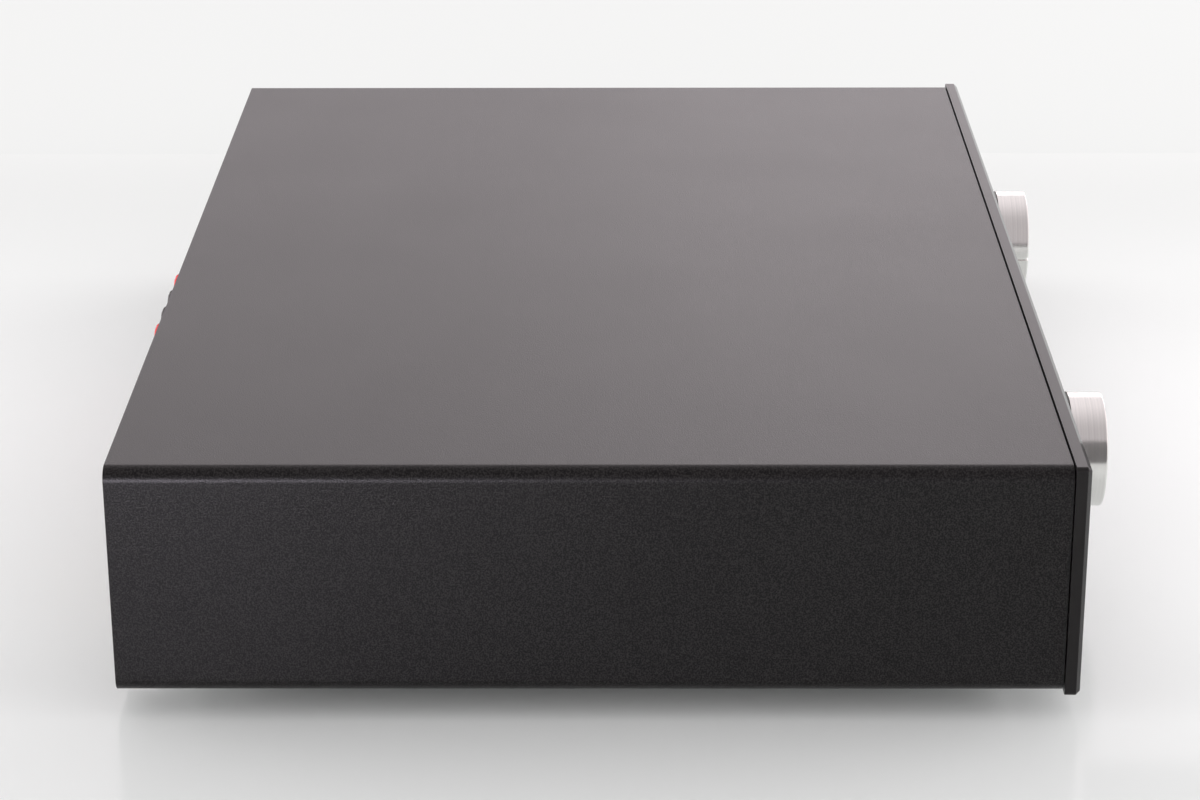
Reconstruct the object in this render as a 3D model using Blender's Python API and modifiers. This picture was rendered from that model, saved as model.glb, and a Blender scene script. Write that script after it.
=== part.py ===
"""Integrated amplifier, made of separate parts at their real size.

Metres, +Z up. The front faces -Y and +X lies to the right of someone standing in front of it.
The origin is on the surface that the feet stand on, under the middle of the whole outline.
"""

import math

import bmesh
import bpy
from mathutils import Matrix, Vector

# Clearances
REST_GAP = 0.0003  # between two parts that touch
RUN_GAP = 0.00025  # round a part that turns or slides
OVERRUN = 0.003  # how far a cutter runs past what it cuts
WELD = 0.00001  # points this near are one point

# Steps round a full turn
KNOB_STEPS = 40
BODY_STEPS = 18
SMALL_STEPS = 12
SCREW_STEPS = 10
FLUTE_STEPS = 6
BEND_STEPS = 5  # along a quarter turn of bent sheet
TRAY_BEND_STEPS = 2
CORNER_STEPS = 2  # along the corner of a plate
SHARP = math.radians(30)  # an edge that turns further is sharp

# Sleeve: top, sides and the two flanges under the bottom, bent from one sheet
CASE_WIDTH = 0.4387
CASE_HEIGHT = 0.0783
CASE_DEPTH = 0.3054
CASE_SHEET = 0.0016
CASE_BEND = 0.006  # outer radius of each bend
CASE_FLANGE = 0.024  # reach of a bottom flange from the side
CASE_LIFT = 0.0054  # free height under the sleeve

# Front panel
PANEL_MARGIN = 0.00065  # past the sleeve, all round
PANEL_THICKNESS = 0.005
PANEL_GAP = 0.0006  # shadow gap between the panel and the sleeve
PANEL_CHAMFER = 0.0014  # round the front
PANEL_BACK_CHAMFER = 0.0004
PANEL_CORNER = 0.0015

# Chassis tray, with its front wall and its rear lip folded up
TRAY_SHEET = 0.0012
TRAY_BEND = 0.002
TRAY_LIP = 0.012
TRAY_WALL_MARGIN = 0.004  # from the top of the front wall to the sleeve
PILLAR_RADIUS = 0.003
PILLAR_HEIGHT = 0.008
PILLAR_INSET = 0.008  # from the edges of the board that it carries

# Rear panel, set back inside the sleeve
REAR_SHEET = 0.0015
REAR_RECESS = 0.010
REAR_SCREW_INSET = 0.03935  # from the side of the sleeve

# Cooling slots
SLOT_WIDTH = 0.003
SLOT_PITCH = 0.0065
REAR_SLOT_COUNT = 7
REAR_SLOT_LENGTH = 0.034
REAR_SLOT_SHIFT = 0.00695  # from midway between the mains inlet and the nearest post
TRAY_SLOT_COUNT = 8
TRAY_SLOT_LENGTH = 0.040

# Feet
FOOT_RADIUS = 0.016
FOOT_CHAMFER = 0.0015
FOOT_RECESS_RADIUS = 0.0065
FOOT_RECESS_DEPTH = 0.0038
FOOT_SIDE_INSET = 0.050  # foot centre from the side of the sleeve
FOOT_END_INSET = 0.0477  # foot centre from the front or rear edge of the sleeve

# Screws
SCREW_RADIUS = 0.002
SCREW_HEAD_RADIUS = 0.0038
SCREW_HEAD_HEIGHT = 0.0022
SCREW_HEAD_CHAMFER = 0.0005
SCREW_REACH = 0.0045  # past the sheet that it holds
SOCKET_RADIUS = 0.0015  # hexagon socket in the head
SOCKET_DEPTH = 0.0012
COVER_SCREW_INSET = 0.013  # from the side of the sleeve
COVER_SCREW_END_INSET = 0.0327  # from the front or rear edge of the sleeve

# Knobs
KNOB_RADIUS = 0.0199
KNOB_REACH = 0.0187  # knob face in front of the panel face
KNOB_RIM = 0.0122
KNOB_EDGE = 0.0008
KNOB_BACK_EDGE = 0.0004
KNOB_HUB_RADIUS = 0.011
KNOB_BACK_GAP = 0.0008  # hub to panel
KNOB_FACE_WALL = 0.004  # metal left in front of the shaft
KNOB_INSET = 0.10535  # from the side of the sleeve
KNOB_HEIGHT = 0.0421  # axis above the bottom of the sleeve
POINTER_WIDTH = 0.0014  # groove over the rim and part of the face
POINTER_LENGTH = 0.008  # on the face, in from the rim
POINTER_DEPTH = 0.0006
VOLUME_POINTER = math.radians(186)  # where it stands at rest, up from the right
SELECTOR_POINTER = math.radians(60)

# Shafts, with the potentiometer and the rotary switch behind them
SHAFT_RADIUS = 0.003
SHAFT_SEAT = 0.009  # shaft inside the control's body
BUSH_RADIUS = 0.0045
BUSH_LENGTH = 0.0045  # in front of the front wall
NUT_RADIUS = 0.006
NUT_HEIGHT = 0.002
NUT_ROOM = 0.001  # round the nut, in the panel
POT_RADIUS = 0.012
POT_DEPTH = 0.014
SELECTOR_RADIUS = 0.014
SELECTOR_DEPTH = 0.020

# Power button, its switch, the small window and the board behind them
BUTTON_RADIUS = 0.0048
BUTTON_PROUD = 0.0016
BUTTON_EDGE = 0.0004
BUTTON_TRAVEL = 0.0012
BUTTON_INSET = 0.02935  # from the side of the sleeve
BUTTON_SEAT = 0.003  # button inside its switch
SWITCH_SIDE = 0.014
SWITCH_DEPTH = 0.010
WINDOW_RADIUS = 0.003
WINDOW_STEP = 0.018  # from the button to the window
CONTROL_WIDTH = 0.044
CONTROL_HEIGHT = 0.024
BOARD_THICKNESS = 0.0016

# Mains inlet
INLET_INSET = 0.03735  # from the side of the sleeve
INLET_FLANGE_WIDTH = 0.0307
INLET_FLANGE_HEIGHT = 0.0244
INLET_FLANGE_THICKNESS = 0.0018
INLET_WIDTH = 0.0272
INLET_HEIGHT = 0.0202
INLET_DEPTH = 0.0215  # behind the flange
INLET_WALL = 0.0014
INLET_FLOOR = 0.0035
INLET_CORNER = 0.0042  # slanted upper corners of the cavity
PIN_WIDTH = 0.002
PIN_HEIGHT = 0.004
PIN_SPREAD = 0.007
PIN_DROP = 0.002  # live and neutral below the middle, earth above it
PIN_SHORT = 0.003  # pins end this far inside the mouth
PIN_TAIL = 0.008

# Speaker posts
POST_NAMES = ("right_plus", "right_minus", "left_minus", "left_plus")  # from the right
POST_X = 0.0274  # middle of the row
POST_PITCH = 0.019
POST_RADIUS = 0.0076
POST_REACH = 0.0147  # behind the rear edge of the sleeve
POST_COLLAR = 0.006
POST_SPIGOT = 0.0048
POST_CHAMFER = 0.0006
POST_STUD = 0.003
POST_NUT = 0.0055
POST_NUT_HEIGHT = 0.003
POST_TAIL = 0.006
POST_SOCKET = 0.00205  # for a 4 mm plug
POST_SOCKET_DEPTH = 0.011
POST_END_WALL = 0.002
POST_WASHER = 0.001
POST_WASHER_RADIUS = 0.006
POST_WIRE_HOLE = 0.0013
FLUTE_COUNT = 6
FLUTE_RADIUS = 0.0012
FLUTE_DEPTH = 0.0008
FLUTE_END = 0.003  # plain length at the inner end of the cap

# Phono sockets
PHONO_INSET = 0.11535  # from the side of the sleeve to the middle of the block
PHONO_PITCH = 0.018
PHONO_PAIRS = 3
PHONO_FLANGE = 0.0055
PHONO_FLANGE_THICKNESS = 0.0015
PHONO_RADIUS = 0.00415
PHONO_LENGTH = 0.0072
PHONO_BORE = 0.0017
PHONO_BORE_DEPTH = 0.0068
PHONO_NECK = 0.0036
PHONO_NUT = 0.005
PHONO_NUT_HEIGHT = 0.002
PHONO_TAIL = 0.004
PHONO_CHAMFER = 0.0004

# Inside
MAIN_BOARD_DEPTH = 0.165
MAIN_BOARD_MARGIN = 0.018  # from the rear panel
FIN_ROOM = 0.02285  # from the heatsink's fins to the board
TOROID_ROOM = 0.03085  # from the transformer to the board
CAPACITOR_RADIUS = 0.0175
CAPACITOR_HEIGHT = 0.045
CAPACITOR_EDGE = 0.001
CAPACITOR_PITCH = 0.042
CAPACITOR_INSET = 0.030  # from the front and right edges of the board
HEATSINK_BASE = 0.006
HEATSINK_FIN = 0.0018
HEATSINK_FIN_REACH = 0.024
HEATSINK_FIN_COUNT = 9
HEATSINK_LENGTH = 0.150
HEATSINK_HEIGHT = 0.052
HEATSINK_INSET = 0.014  # from the side of the sleeve
TOROID_RADIUS = 0.054
TOROID_BORE = 0.016
TOROID_HEIGHT = 0.044
TOROID_EDGE = 0.010
TOROID_INSET = 0.018  # from the side of the sleeve
TOROID_SHIFT = 0.0302  # behind the middle of the sleeve's depth
CLAMP_RADIUS = 0.030
CLAMP_SHEET = 0.002
BOLT_RADIUS = 0.003
BOLT_HEAD_RADIUS = 0.0058
BOLT_HEAD_HEIGHT = 0.004

# Places along Y, from the knob faces to the ends of the posts
TOTAL_DEPTH = KNOB_REACH + PANEL_THICKNESS + PANEL_GAP + CASE_DEPTH + POST_REACH
PANEL_FACE = KNOB_REACH - TOTAL_DEPTH / 2
PANEL_BACK = PANEL_FACE + PANEL_THICKNESS
CASE_FRONT = PANEL_BACK + PANEL_GAP
CASE_REAR = CASE_FRONT + CASE_DEPTH
CASE_CENTRE = (CASE_FRONT + CASE_REAR) / 2
TOROID_Y = CASE_CENTRE + TOROID_SHIFT
FOOT_SPREAD = CASE_DEPTH / 2 - FOOT_END_INSET
COVER_SCREW_SPREAD = CASE_DEPTH / 2 - COVER_SCREW_END_INSET
WALL_FACE = PANEL_BACK + REST_GAP
WALL_BACK = WALL_FACE + TRAY_SHEET
REAR_FACE = CASE_REAR - REAR_RECESS
REAR_BACK = REAR_FACE - REAR_SHEET
LIP_FACE = REAR_BACK - REST_GAP
LIP_BACK = LIP_FACE - TRAY_SHEET

# Places along Z
CASE_TOP = CASE_LIFT + CASE_HEIGHT
CASE_MIDDLE = CASE_LIFT + CASE_HEIGHT / 2
CASE_CEILING = CASE_TOP - CASE_SHEET
FLANGE_TOP = CASE_LIFT + CASE_SHEET
TRAY_UNDER = FLANGE_TOP + REST_GAP
TRAY_TOP = TRAY_UNDER + TRAY_SHEET
KNOB_Z = CASE_LIFT + KNOB_HEIGHT
CONTROL_Z = CASE_MIDDLE
BOARD_UNDER = TRAY_TOP + PILLAR_HEIGHT + REST_GAP
BOARD_TOP = BOARD_UNDER + BOARD_THICKNESS

# Places along X
CASE_SIDE = CASE_WIDTH / 2
CASE_INSIDE = CASE_SIDE - CASE_SHEET
TRAY_HALF = CASE_SIDE - CASE_BEND
FOOT_X = CASE_SIDE - FOOT_SIDE_INSET
COVER_SCREW_X = CASE_SIDE - COVER_SCREW_INSET
REAR_SCREW_X = CASE_SIDE - REAR_SCREW_INSET
KNOB_X = CASE_SIDE - KNOB_INSET
BUTTON_X = -(CASE_SIDE - BUTTON_INSET)
INLET_X = CASE_SIDE - INLET_INSET
OUTER_POST_X = POST_X + (len(POST_NAMES) - 1) / 2 * POST_PITCH
REAR_SLOT_X = (OUTER_POST_X + INLET_X) / 2 - REAR_SLOT_SHIFT
PHONO_X = -(CASE_SIDE - PHONO_INSET)
HEATSINK_BACK = -(CASE_SIDE - HEATSINK_INSET)
TOROID_X = CASE_SIDE - TOROID_INSET - TOROID_RADIUS
MAIN_BOARD_LEFT = HEATSINK_BACK + HEATSINK_BASE + HEATSINK_FIN_REACH + FIN_ROOM
MAIN_BOARD_RIGHT = TOROID_X - TOROID_RADIUS - TOROID_ROOM

FORWARD = Matrix.Rotation(math.radians(90), 4, "X")  # local +Z points out of the front
BACKWARD = Matrix.Rotation(math.radians(-90), 4, "X")  # local +Z points out of the back
UPWARD = Matrix.Identity(4)
DOWNWARD = Matrix.Rotation(math.radians(180), 4, "X")

for old in list(bpy.data.objects):
    bpy.data.objects.remove(old, do_unlink=True)

parts = bpy.data.collections.new("Integrated amplifier")
cutters = bpy.data.collections.new("Cutters")
cutters.hide_render = True
bpy.context.scene.collection.children.link(parts)
bpy.context.scene.collection.children.link(cutters)


def finish(name, colour, roughness, metallic):
    material = bpy.data.materials.new(name)
    material.use_nodes = True
    shader = material.node_tree.nodes["Principled BSDF"]
    shader.inputs["Base Color"].default_value = (*colour, 1)
    shader.inputs["Roughness"].default_value = roughness
    shader.inputs["Metallic"].default_value = metallic
    return material


POWDER_COAT = finish("powder_coat", (0.020, 0.019, 0.020), 0.42, 0)
ANODISED = finish("black_anodising", (0.014, 0.013, 0.014), 0.38, 0.3)
TURNED = finish("turned_aluminium", (0.62, 0.59, 0.57), 0.28, 1)
ZINC_STEEL = finish("zinc_plated_steel", (0.55, 0.56, 0.57), 0.35, 1)
REAR_PAINT = finish("rear_paint", (0.022, 0.022, 0.023), 0.5, 0)
BLACK_STEEL = finish("blackened_steel", (0.03, 0.03, 0.032), 0.4, 1)
RUBBER = finish("rubber", (0.018, 0.018, 0.018), 0.8, 0)
BLACK_PLASTIC = finish("black_plastic", (0.02, 0.02, 0.021), 0.45, 0)
POST_BLACK = finish("black_post_plastic", (0.015, 0.015, 0.016), 0.25, 0)
POST_RED = finish("red_post_plastic", (0.55, 0.02, 0.02), 0.25, 0)
GILT = finish("gilt_brass", (0.83, 0.62, 0.28), 0.22, 1)
NICKEL = finish("nickel_plate", (0.66, 0.63, 0.58), 0.2, 1)
DARK_LENS = finish("dark_lens", (0.02, 0.004, 0.006), 0.1, 0)
BOARD_GREEN = finish("board_green", (0.03, 0.14, 0.06), 0.4, 0)
WINDING_FILM = finish("winding_film", (0.45, 0.30, 0.06), 0.35, 0)
CAN_SLEEVE = finish("can_sleeve", (0.03, 0.04, 0.08), 0.3, 0)
BLACK_FINS = finish("black_fins", (0.03, 0.03, 0.03), 0.45, 0.6)


def place(name, mesh, material, position=(0, 0, 0), turn=UPWARD):
    """Adds a mesh to the object as one named part."""
    mesh.materials.append(material)
    part = bpy.data.objects.new(name, mesh)
    parts.objects.link(part)
    part.matrix_world = Matrix.Translation(position) @ turn
    return part


def mesh_from(name, shape):
    mesh = bpy.data.meshes.new(name)
    shape.to_mesh(mesh)
    shape.free()
    return mesh


def box_in(shape, low, high):
    """Adds a box between two corners to a bmesh."""
    low = Vector(low)
    size = Vector(high) - low
    matrix = Matrix.Translation(low + size / 2) @ Matrix.Diagonal((*size, 1))
    return bmesh.ops.create_cube(shape, size=1, matrix=matrix)["verts"]


def rod_in(shape, start, end, radius, steps):
    """Adds a round rod between two points to a bmesh."""
    start = Vector(start)
    run = Vector(end) - start
    turn = run.to_track_quat("Z", "Y").to_matrix().to_4x4()
    matrix = Matrix.Translation(start + run / 2) @ turn
    bmesh.ops.create_cone(
        shape,
        cap_ends=True,
        segments=steps,
        radius1=radius,
        radius2=radius,
        depth=run.length,
        matrix=matrix,
    )


def block(name, low, high, material):
    shape = bmesh.new()
    middle = (Vector(low) + Vector(high)) / 2
    box_in(shape, Vector(low) - middle, Vector(high) - middle)
    return place(name, mesh_from(name, shape), material, middle)


def turned(name, profile, material, position, turn, steps, ring=False):
    """Turns a profile of (radius, height) pairs, which runs down its outer side, round local Z."""
    shape = bmesh.new()
    points = [shape.verts.new((radius, 0, height)) for radius, height in profile]
    pairs = list(zip(points, points[1:]))
    if ring:
        pairs.append((points[-1], points[0]))
    for start, end in pairs:
        shape.edges.new((start, end))
    part = place(name, mesh_from(name, shape), material, position, turn)
    spin = part.modifiers.new("Turn", "SCREW")
    spin.steps = steps
    spin.render_steps = steps
    spin.use_merge_vertices = True
    spin.merge_threshold = WELD
    spin.use_smooth_shade = True
    return part


def arc(centre, radius, start, end, steps):
    """Points along an arc, with its angles in degrees."""
    angles = [math.radians(start + (end - start) * step / steps) for step in range(steps + 1)]
    return [(centre[0] + radius * math.cos(a), centre[1] + radius * math.sin(a)) for a in angles]


def rounded_rectangle(width, height, radius, steps):
    x = width / 2 - radius
    y = height / 2 - radius
    points = []
    for centre, start in (((x, y), 0), ((-x, y), 90), ((-x, -y), 180), ((x, -y), 270)):
        points += arc(centre, radius, start, start + 90, steps)
    return points


def plate_mesh(name, outline, thickness):
    """A flat outline with a thickness, centred on local Z, as a closed mesh."""
    curve = bpy.data.curves.new(name, "CURVE")
    curve.dimensions = "2D"
    curve.fill_mode = "BOTH"
    curve.extrude = thickness / 2
    spline = curve.splines.new("POLY")
    spline.points.add(len(outline) - 1)
    for point, (x, y) in zip(spline.points, outline):
        point.co = (x, y, 0, 1)
    spline.use_cyclic_u = True
    guide = bpy.data.objects.new(name, curve)
    parts.objects.link(guide)
    seen = guide.evaluated_get(bpy.context.evaluated_depsgraph_get())
    mesh = bpy.data.meshes.new_from_object(seen)
    bpy.data.objects.remove(guide)
    bpy.data.curves.remove(curve)
    shape = bmesh.new()
    shape.from_mesh(mesh)
    bmesh.ops.remove_doubles(shape, verts=shape.verts, dist=WELD)
    bmesh.ops.recalc_face_normals(shape, faces=shape.faces)
    shape.to_mesh(mesh)
    shape.free()
    mesh.name = name
    return mesh


def cut(part, shape, operation="DIFFERENCE"):
    """Cuts or joins the solids of a bmesh, given in world space, with a Boolean."""
    name = f"{part.name}_{operation.lower()}"
    cutter = bpy.data.objects.new(name, mesh_from(name, shape))
    cutters.objects.link(cutter)
    cutter.hide_render = True
    cutter.display_type = "WIRE"
    boolean = part.modifiers.new(name, "BOOLEAN")
    boolean.operation = operation
    boolean.solver = "EXACT"
    boolean.object = cutter


def screw(name, position, turn, reach):
    """A pan-head screw whose head sits on local Z 0 and whose shank points along local -Z."""
    profile = [
        (0, SCREW_HEAD_HEIGHT),
        (SCREW_HEAD_RADIUS - SCREW_HEAD_CHAMFER, SCREW_HEAD_HEIGHT),
        (SCREW_HEAD_RADIUS, SCREW_HEAD_HEIGHT - SCREW_HEAD_CHAMFER),
        (SCREW_HEAD_RADIUS, 0),
        (SCREW_RADIUS, 0),
        (SCREW_RADIUS, -reach),
        (0, -reach),
    ]
    part = turned(name, profile, BLACK_STEEL, position, turn, SCREW_STEPS)
    socket = bmesh.new()
    rod_in(
        socket,
        (0, 0, SCREW_HEAD_HEIGHT - SOCKET_DEPTH),
        (0, 0, SCREW_HEAD_HEIGHT + OVERRUN),
        SOCKET_RADIUS,
        6,
    )
    socket.transform(Matrix.Translation(position) @ turn)
    cut(part, socket)


def cover_screw_places():
    return [
        (side * COVER_SCREW_X, CASE_CENTRE + end * COVER_SCREW_SPREAD)
        for side in (-1, 1)
        for end in (-1, 1)
    ]


def foot_places():
    return [
        (side * FOOT_X, CASE_CENTRE + end * FOOT_SPREAD)
        for side in (-1, 1)
        for end in (-1, 1)
    ]


def rear_screw_places():
    return [side * REAR_SCREW_X for side in (-1, 1)]


CORNER_NAMES = ("left_front", "left_rear", "right_front", "right_rear")


def make_cover():
    """The sleeve: an open bent surface, given its sheet thickness on the inside."""
    side = CASE_SIDE - CASE_BEND
    low = CASE_LIFT + CASE_BEND
    high = CASE_TOP - CASE_BEND
    outline = [(CASE_SIDE - CASE_FLANGE, CASE_LIFT)]
    outline += arc((side, low), CASE_BEND, 270, 360, BEND_STEPS)
    outline += arc((side, high), CASE_BEND, 0, 90, BEND_STEPS)
    outline += arc((-side, high), CASE_BEND, 90, 180, BEND_STEPS)
    outline += arc((-side, low), CASE_BEND, 180, 270, BEND_STEPS)
    outline.append((-(CASE_SIDE - CASE_FLANGE), CASE_LIFT))
    shape = bmesh.new()
    points = [shape.verts.new((x, -CASE_DEPTH / 2, z - CASE_MIDDLE)) for x, z in outline]
    edges = [shape.edges.new(pair) for pair in zip(points, points[1:])]
    grown = bmesh.ops.extrude_edge_only(shape, edges=edges)["geom"]
    moved = [item for item in grown if isinstance(item, bmesh.types.BMVert)]
    bmesh.ops.translate(shape, verts=moved, vec=(0, CASE_DEPTH, 0))
    bmesh.ops.recalc_face_normals(shape, faces=shape.faces)
    top = max(shape.faces, key=lambda face: face.calc_center_median().z)
    if top.normal.z < 0:
        bmesh.ops.reverse_faces(shape, faces=shape.faces)
    mesh = mesh_from("cover", shape)
    mesh.shade_smooth()
    mesh.set_sharp_from_angle(angle=SHARP)
    cover = place("cover", mesh, POWDER_COAT, (0, CASE_CENTRE, CASE_MIDDLE))
    sheet = cover.modifiers.new("Sheet", "SOLIDIFY")
    sheet.thickness = CASE_SHEET
    sheet.offset = -1
    sheet.use_even_offset = True

    cuts = bmesh.new()
    for x, y in cover_screw_places():
        rod_in(
            cuts,
            (x, y, CASE_LIFT - OVERRUN),
            (x, y, FLANGE_TOP + OVERRUN),
            SCREW_RADIUS + REST_GAP,
            SMALL_STEPS,
        )
    cut(cover, cuts)


def slots_in(shape, middle, count, length, low, high):
    """Adds a row of slots along X that run along Y, from low to high."""
    x, y = middle
    for step in range(count):
        left = x + (step - (count - 1) / 2) * SLOT_PITCH - SLOT_WIDTH / 2
        box_in(shape, (left, y - length / 2, low), (left + SLOT_WIDTH, y + length / 2, high))


def pillar_places():
    """Board pillars, at the corners of the main board."""
    back = REAR_BACK - MAIN_BOARD_MARGIN
    front = back - MAIN_BOARD_DEPTH
    return [
        (x, y)
        for x in (MAIN_BOARD_LEFT + PILLAR_INSET, MAIN_BOARD_RIGHT - PILLAR_INSET)
        for y in (front + PILLAR_INSET, back - PILLAR_INSET)
    ]


def make_tray():
    """The tray: an open bent surface in the YZ plane, given its sheet thickness on the inside."""
    low = TRAY_UNDER + TRAY_BEND
    outline = [(WALL_FACE, CASE_CEILING - TRAY_WALL_MARGIN)]
    outline += arc((WALL_FACE + TRAY_BEND, low), TRAY_BEND, 180, 270, TRAY_BEND_STEPS)
    outline += arc((LIP_FACE - TRAY_BEND, low), TRAY_BEND, 270, 360, TRAY_BEND_STEPS)
    outline.append((LIP_FACE, TRAY_UNDER + TRAY_LIP))
    shape = bmesh.new()
    points = [shape.verts.new((-TRAY_HALF, y, z)) for y, z in outline]
    edges = [shape.edges.new(pair) for pair in zip(points, points[1:])]
    grown = bmesh.ops.extrude_edge_only(shape, edges=edges)["geom"]
    moved = [item for item in grown if isinstance(item, bmesh.types.BMVert)]
    bmesh.ops.translate(shape, verts=moved, vec=(2 * TRAY_HALF, 0, 0))
    bmesh.ops.recalc_face_normals(shape, faces=shape.faces)
    floor = min(shape.faces, key=lambda face: face.calc_center_median().z)
    if floor.normal.z > 0:
        bmesh.ops.reverse_faces(shape, faces=shape.faces)
    tray = place("chassis_tray", mesh_from("chassis_tray", shape), ZINC_STEEL)
    sheet = tray.modifiers.new("Sheet", "SOLIDIFY")
    sheet.thickness = TRAY_SHEET
    sheet.offset = -1
    sheet.use_even_offset = True

    pillars = bmesh.new()
    for x, y in pillar_places():
        rod_in(
            pillars,
            (x, y, TRAY_UNDER + TRAY_SHEET / 2),
            (x, y, TRAY_TOP + PILLAR_HEIGHT),
            PILLAR_RADIUS,
            SMALL_STEPS,
        )
    cut(tray, pillars, "UNION")

    cuts = bmesh.new()
    for x, y in cover_screw_places() + foot_places():
        rod_in(
            cuts,
            (x, y, TRAY_UNDER - OVERRUN),
            (x, y, TRAY_TOP + OVERRUN),
            SCREW_RADIUS + REST_GAP,
            SMALL_STEPS,
        )
    for x in rear_screw_places():
        rod_in(
            cuts,
            (x, LIP_BACK - OVERRUN, TRAY_UNDER + TRAY_LIP / 2),
            (x, LIP_FACE + OVERRUN, TRAY_UNDER + TRAY_LIP / 2),
            SCREW_RADIUS + REST_GAP,
            SMALL_STEPS,
        )
    wall_holes = [
        (-KNOB_X, KNOB_Z, BUSH_RADIUS + REST_GAP),
        (KNOB_X, KNOB_Z, BUSH_RADIUS + REST_GAP),
        (BUTTON_X, CONTROL_Z, BUTTON_RADIUS + RUN_GAP),
        (BUTTON_X + WINDOW_STEP, CONTROL_Z, WINDOW_RADIUS + REST_GAP),
    ]
    for x, z, radius in wall_holes:
        rod_in(
            cuts, (x, WALL_FACE - OVERRUN, z), (x, WALL_BACK + OVERRUN, z), radius, BODY_STEPS
        )
    heatsink_middle = HEATSINK_BACK + (HEATSINK_BASE + HEATSINK_FIN_REACH) / 2
    for x, y, count in (
        (heatsink_middle, CASE_CENTRE, HEATSINK_FIN_COUNT // 2),
        (0, CASE_CENTRE - FOOT_SPREAD, TRAY_SLOT_COUNT),
    ):
        slots_in(
            cuts, (x, y), count, TRAY_SLOT_LENGTH, TRAY_UNDER - OVERRUN, TRAY_TOP + OVERRUN
        )
    cut(tray, cuts)


def make_front_panel():
    """The panel: a plate with small corners, a wide front chamfer and a narrow rear one."""
    width = CASE_WIDTH + 2 * PANEL_MARGIN
    height = CASE_HEIGHT + 2 * PANEL_MARGIN
    outline = rounded_rectangle(width, height, PANEL_CORNER, CORNER_STEPS)
    mesh = plate_mesh("front_panel", outline, PANEL_THICKNESS)
    shape = bmesh.new()
    shape.from_mesh(mesh)
    for level, depth in (
        (PANEL_THICKNESS / 2, PANEL_CHAMFER),
        (-PANEL_THICKNESS / 2, PANEL_BACK_CHAMFER),
    ):
        rim = [
            edge
            for edge in shape.edges
            if all(abs(vert.co.z - level) < WELD for vert in edge.verts)
            and abs(edge.calc_face_angle(0)) > SHARP
        ]
        bmesh.ops.bevel(
            shape,
            geom=rim,
            offset=depth,
            segments=1,
            profile=0.5,
            affect="EDGES",
            material=-1,
        )
    shape.to_mesh(mesh)
    shape.free()
    middle = (0, (PANEL_FACE + PANEL_BACK) / 2, CASE_MIDDLE)
    panel = place("front_panel", mesh, ANODISED, middle, FORWARD)
    holes = [
        (-KNOB_X, KNOB_Z, NUT_RADIUS + NUT_ROOM),
        (KNOB_X, KNOB_Z, NUT_RADIUS + NUT_ROOM),
        (BUTTON_X, CONTROL_Z, BUTTON_RADIUS + RUN_GAP),
        (BUTTON_X + WINDOW_STEP, CONTROL_Z, WINDOW_RADIUS + REST_GAP),
    ]
    cuts = bmesh.new()
    for x, z, radius in holes:
        rod_in(
            cuts, (x, PANEL_FACE - OVERRUN, z), (x, PANEL_BACK + OVERRUN, z), radius, BODY_STEPS
        )
    cut(panel, cuts)


def post_places():
    """Speaker posts as (name, X), which are red, black, black and red."""
    return [(name, OUTER_POST_X - step * POST_PITCH) for step, name in enumerate(POST_NAMES)]


def phono_places():
    """Phono sockets as (name, X, Z), the left channel above the right one."""
    found = []
    for pair in range(PHONO_PAIRS):
        x = PHONO_X + (pair - (PHONO_PAIRS - 1) / 2) * PHONO_PITCH
        for channel, step in (("left", 1), ("right", -1)):
            found.append((f"input_{pair + 1}_{channel}", x, CASE_MIDDLE + step * PHONO_PITCH / 2))
    return found


def make_rear_panel():
    """The rear panel: a plate that fills the sleeve, with its openings cut out."""
    width = 2 * (CASE_INSIDE - REST_GAP)
    height = CASE_HEIGHT - 2 * (CASE_SHEET + REST_GAP)
    corner = CASE_BEND - CASE_SHEET - REST_GAP
    outline = rounded_rectangle(width, height, corner, BEND_STEPS)
    middle = (0, (REAR_FACE + REAR_BACK) / 2, CASE_MIDDLE)
    mesh = plate_mesh("rear_panel", outline, REAR_SHEET)
    panel = place("rear_panel", mesh, REAR_PAINT, middle, BACKWARD)
    front = REAR_BACK - OVERRUN
    back = REAR_FACE + OVERRUN
    holes = [(x, CASE_MIDDLE, POST_SPIGOT + REST_GAP) for _, x in post_places()]
    holes += [(x, z, PHONO_NECK + REST_GAP) for _, x, z in phono_places()]
    holes += [
        (x, TRAY_UNDER + TRAY_LIP / 2, SCREW_RADIUS + REST_GAP) for x in rear_screw_places()
    ]
    cuts = bmesh.new()
    for x, z, radius in holes:
        rod_in(cuts, (x, front, z), (x, back, z), radius, SMALL_STEPS)
    half_width = INLET_WIDTH / 2 + REST_GAP
    half_height = INLET_HEIGHT / 2 + REST_GAP
    box_in(
        cuts,
        (INLET_X - half_width, front, CASE_MIDDLE - half_height),
        (INLET_X + half_width, back, CASE_MIDDLE + half_height),
    )
    for step in range(REAR_SLOT_COUNT):
        left = REAR_SLOT_X + (step - (REAR_SLOT_COUNT - 1) / 2) * SLOT_PITCH - SLOT_WIDTH / 2
        low = (left, front, CASE_MIDDLE - REAR_SLOT_LENGTH / 2)
        high = (left + SLOT_WIDTH, back, CASE_MIDDLE + REAR_SLOT_LENGTH / 2)
        box_in(cuts, low, high)
    cut(panel, cuts)
    for side, x in zip(("left", "right"), rear_screw_places()):
        position = (x, REAR_FACE + REST_GAP, TRAY_UNDER + TRAY_LIP / 2)
        reach = REAR_FACE - LIP_BACK + SCREW_REACH
        screw(f"rear_screw_{side}", position, BACKWARD, reach)


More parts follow.
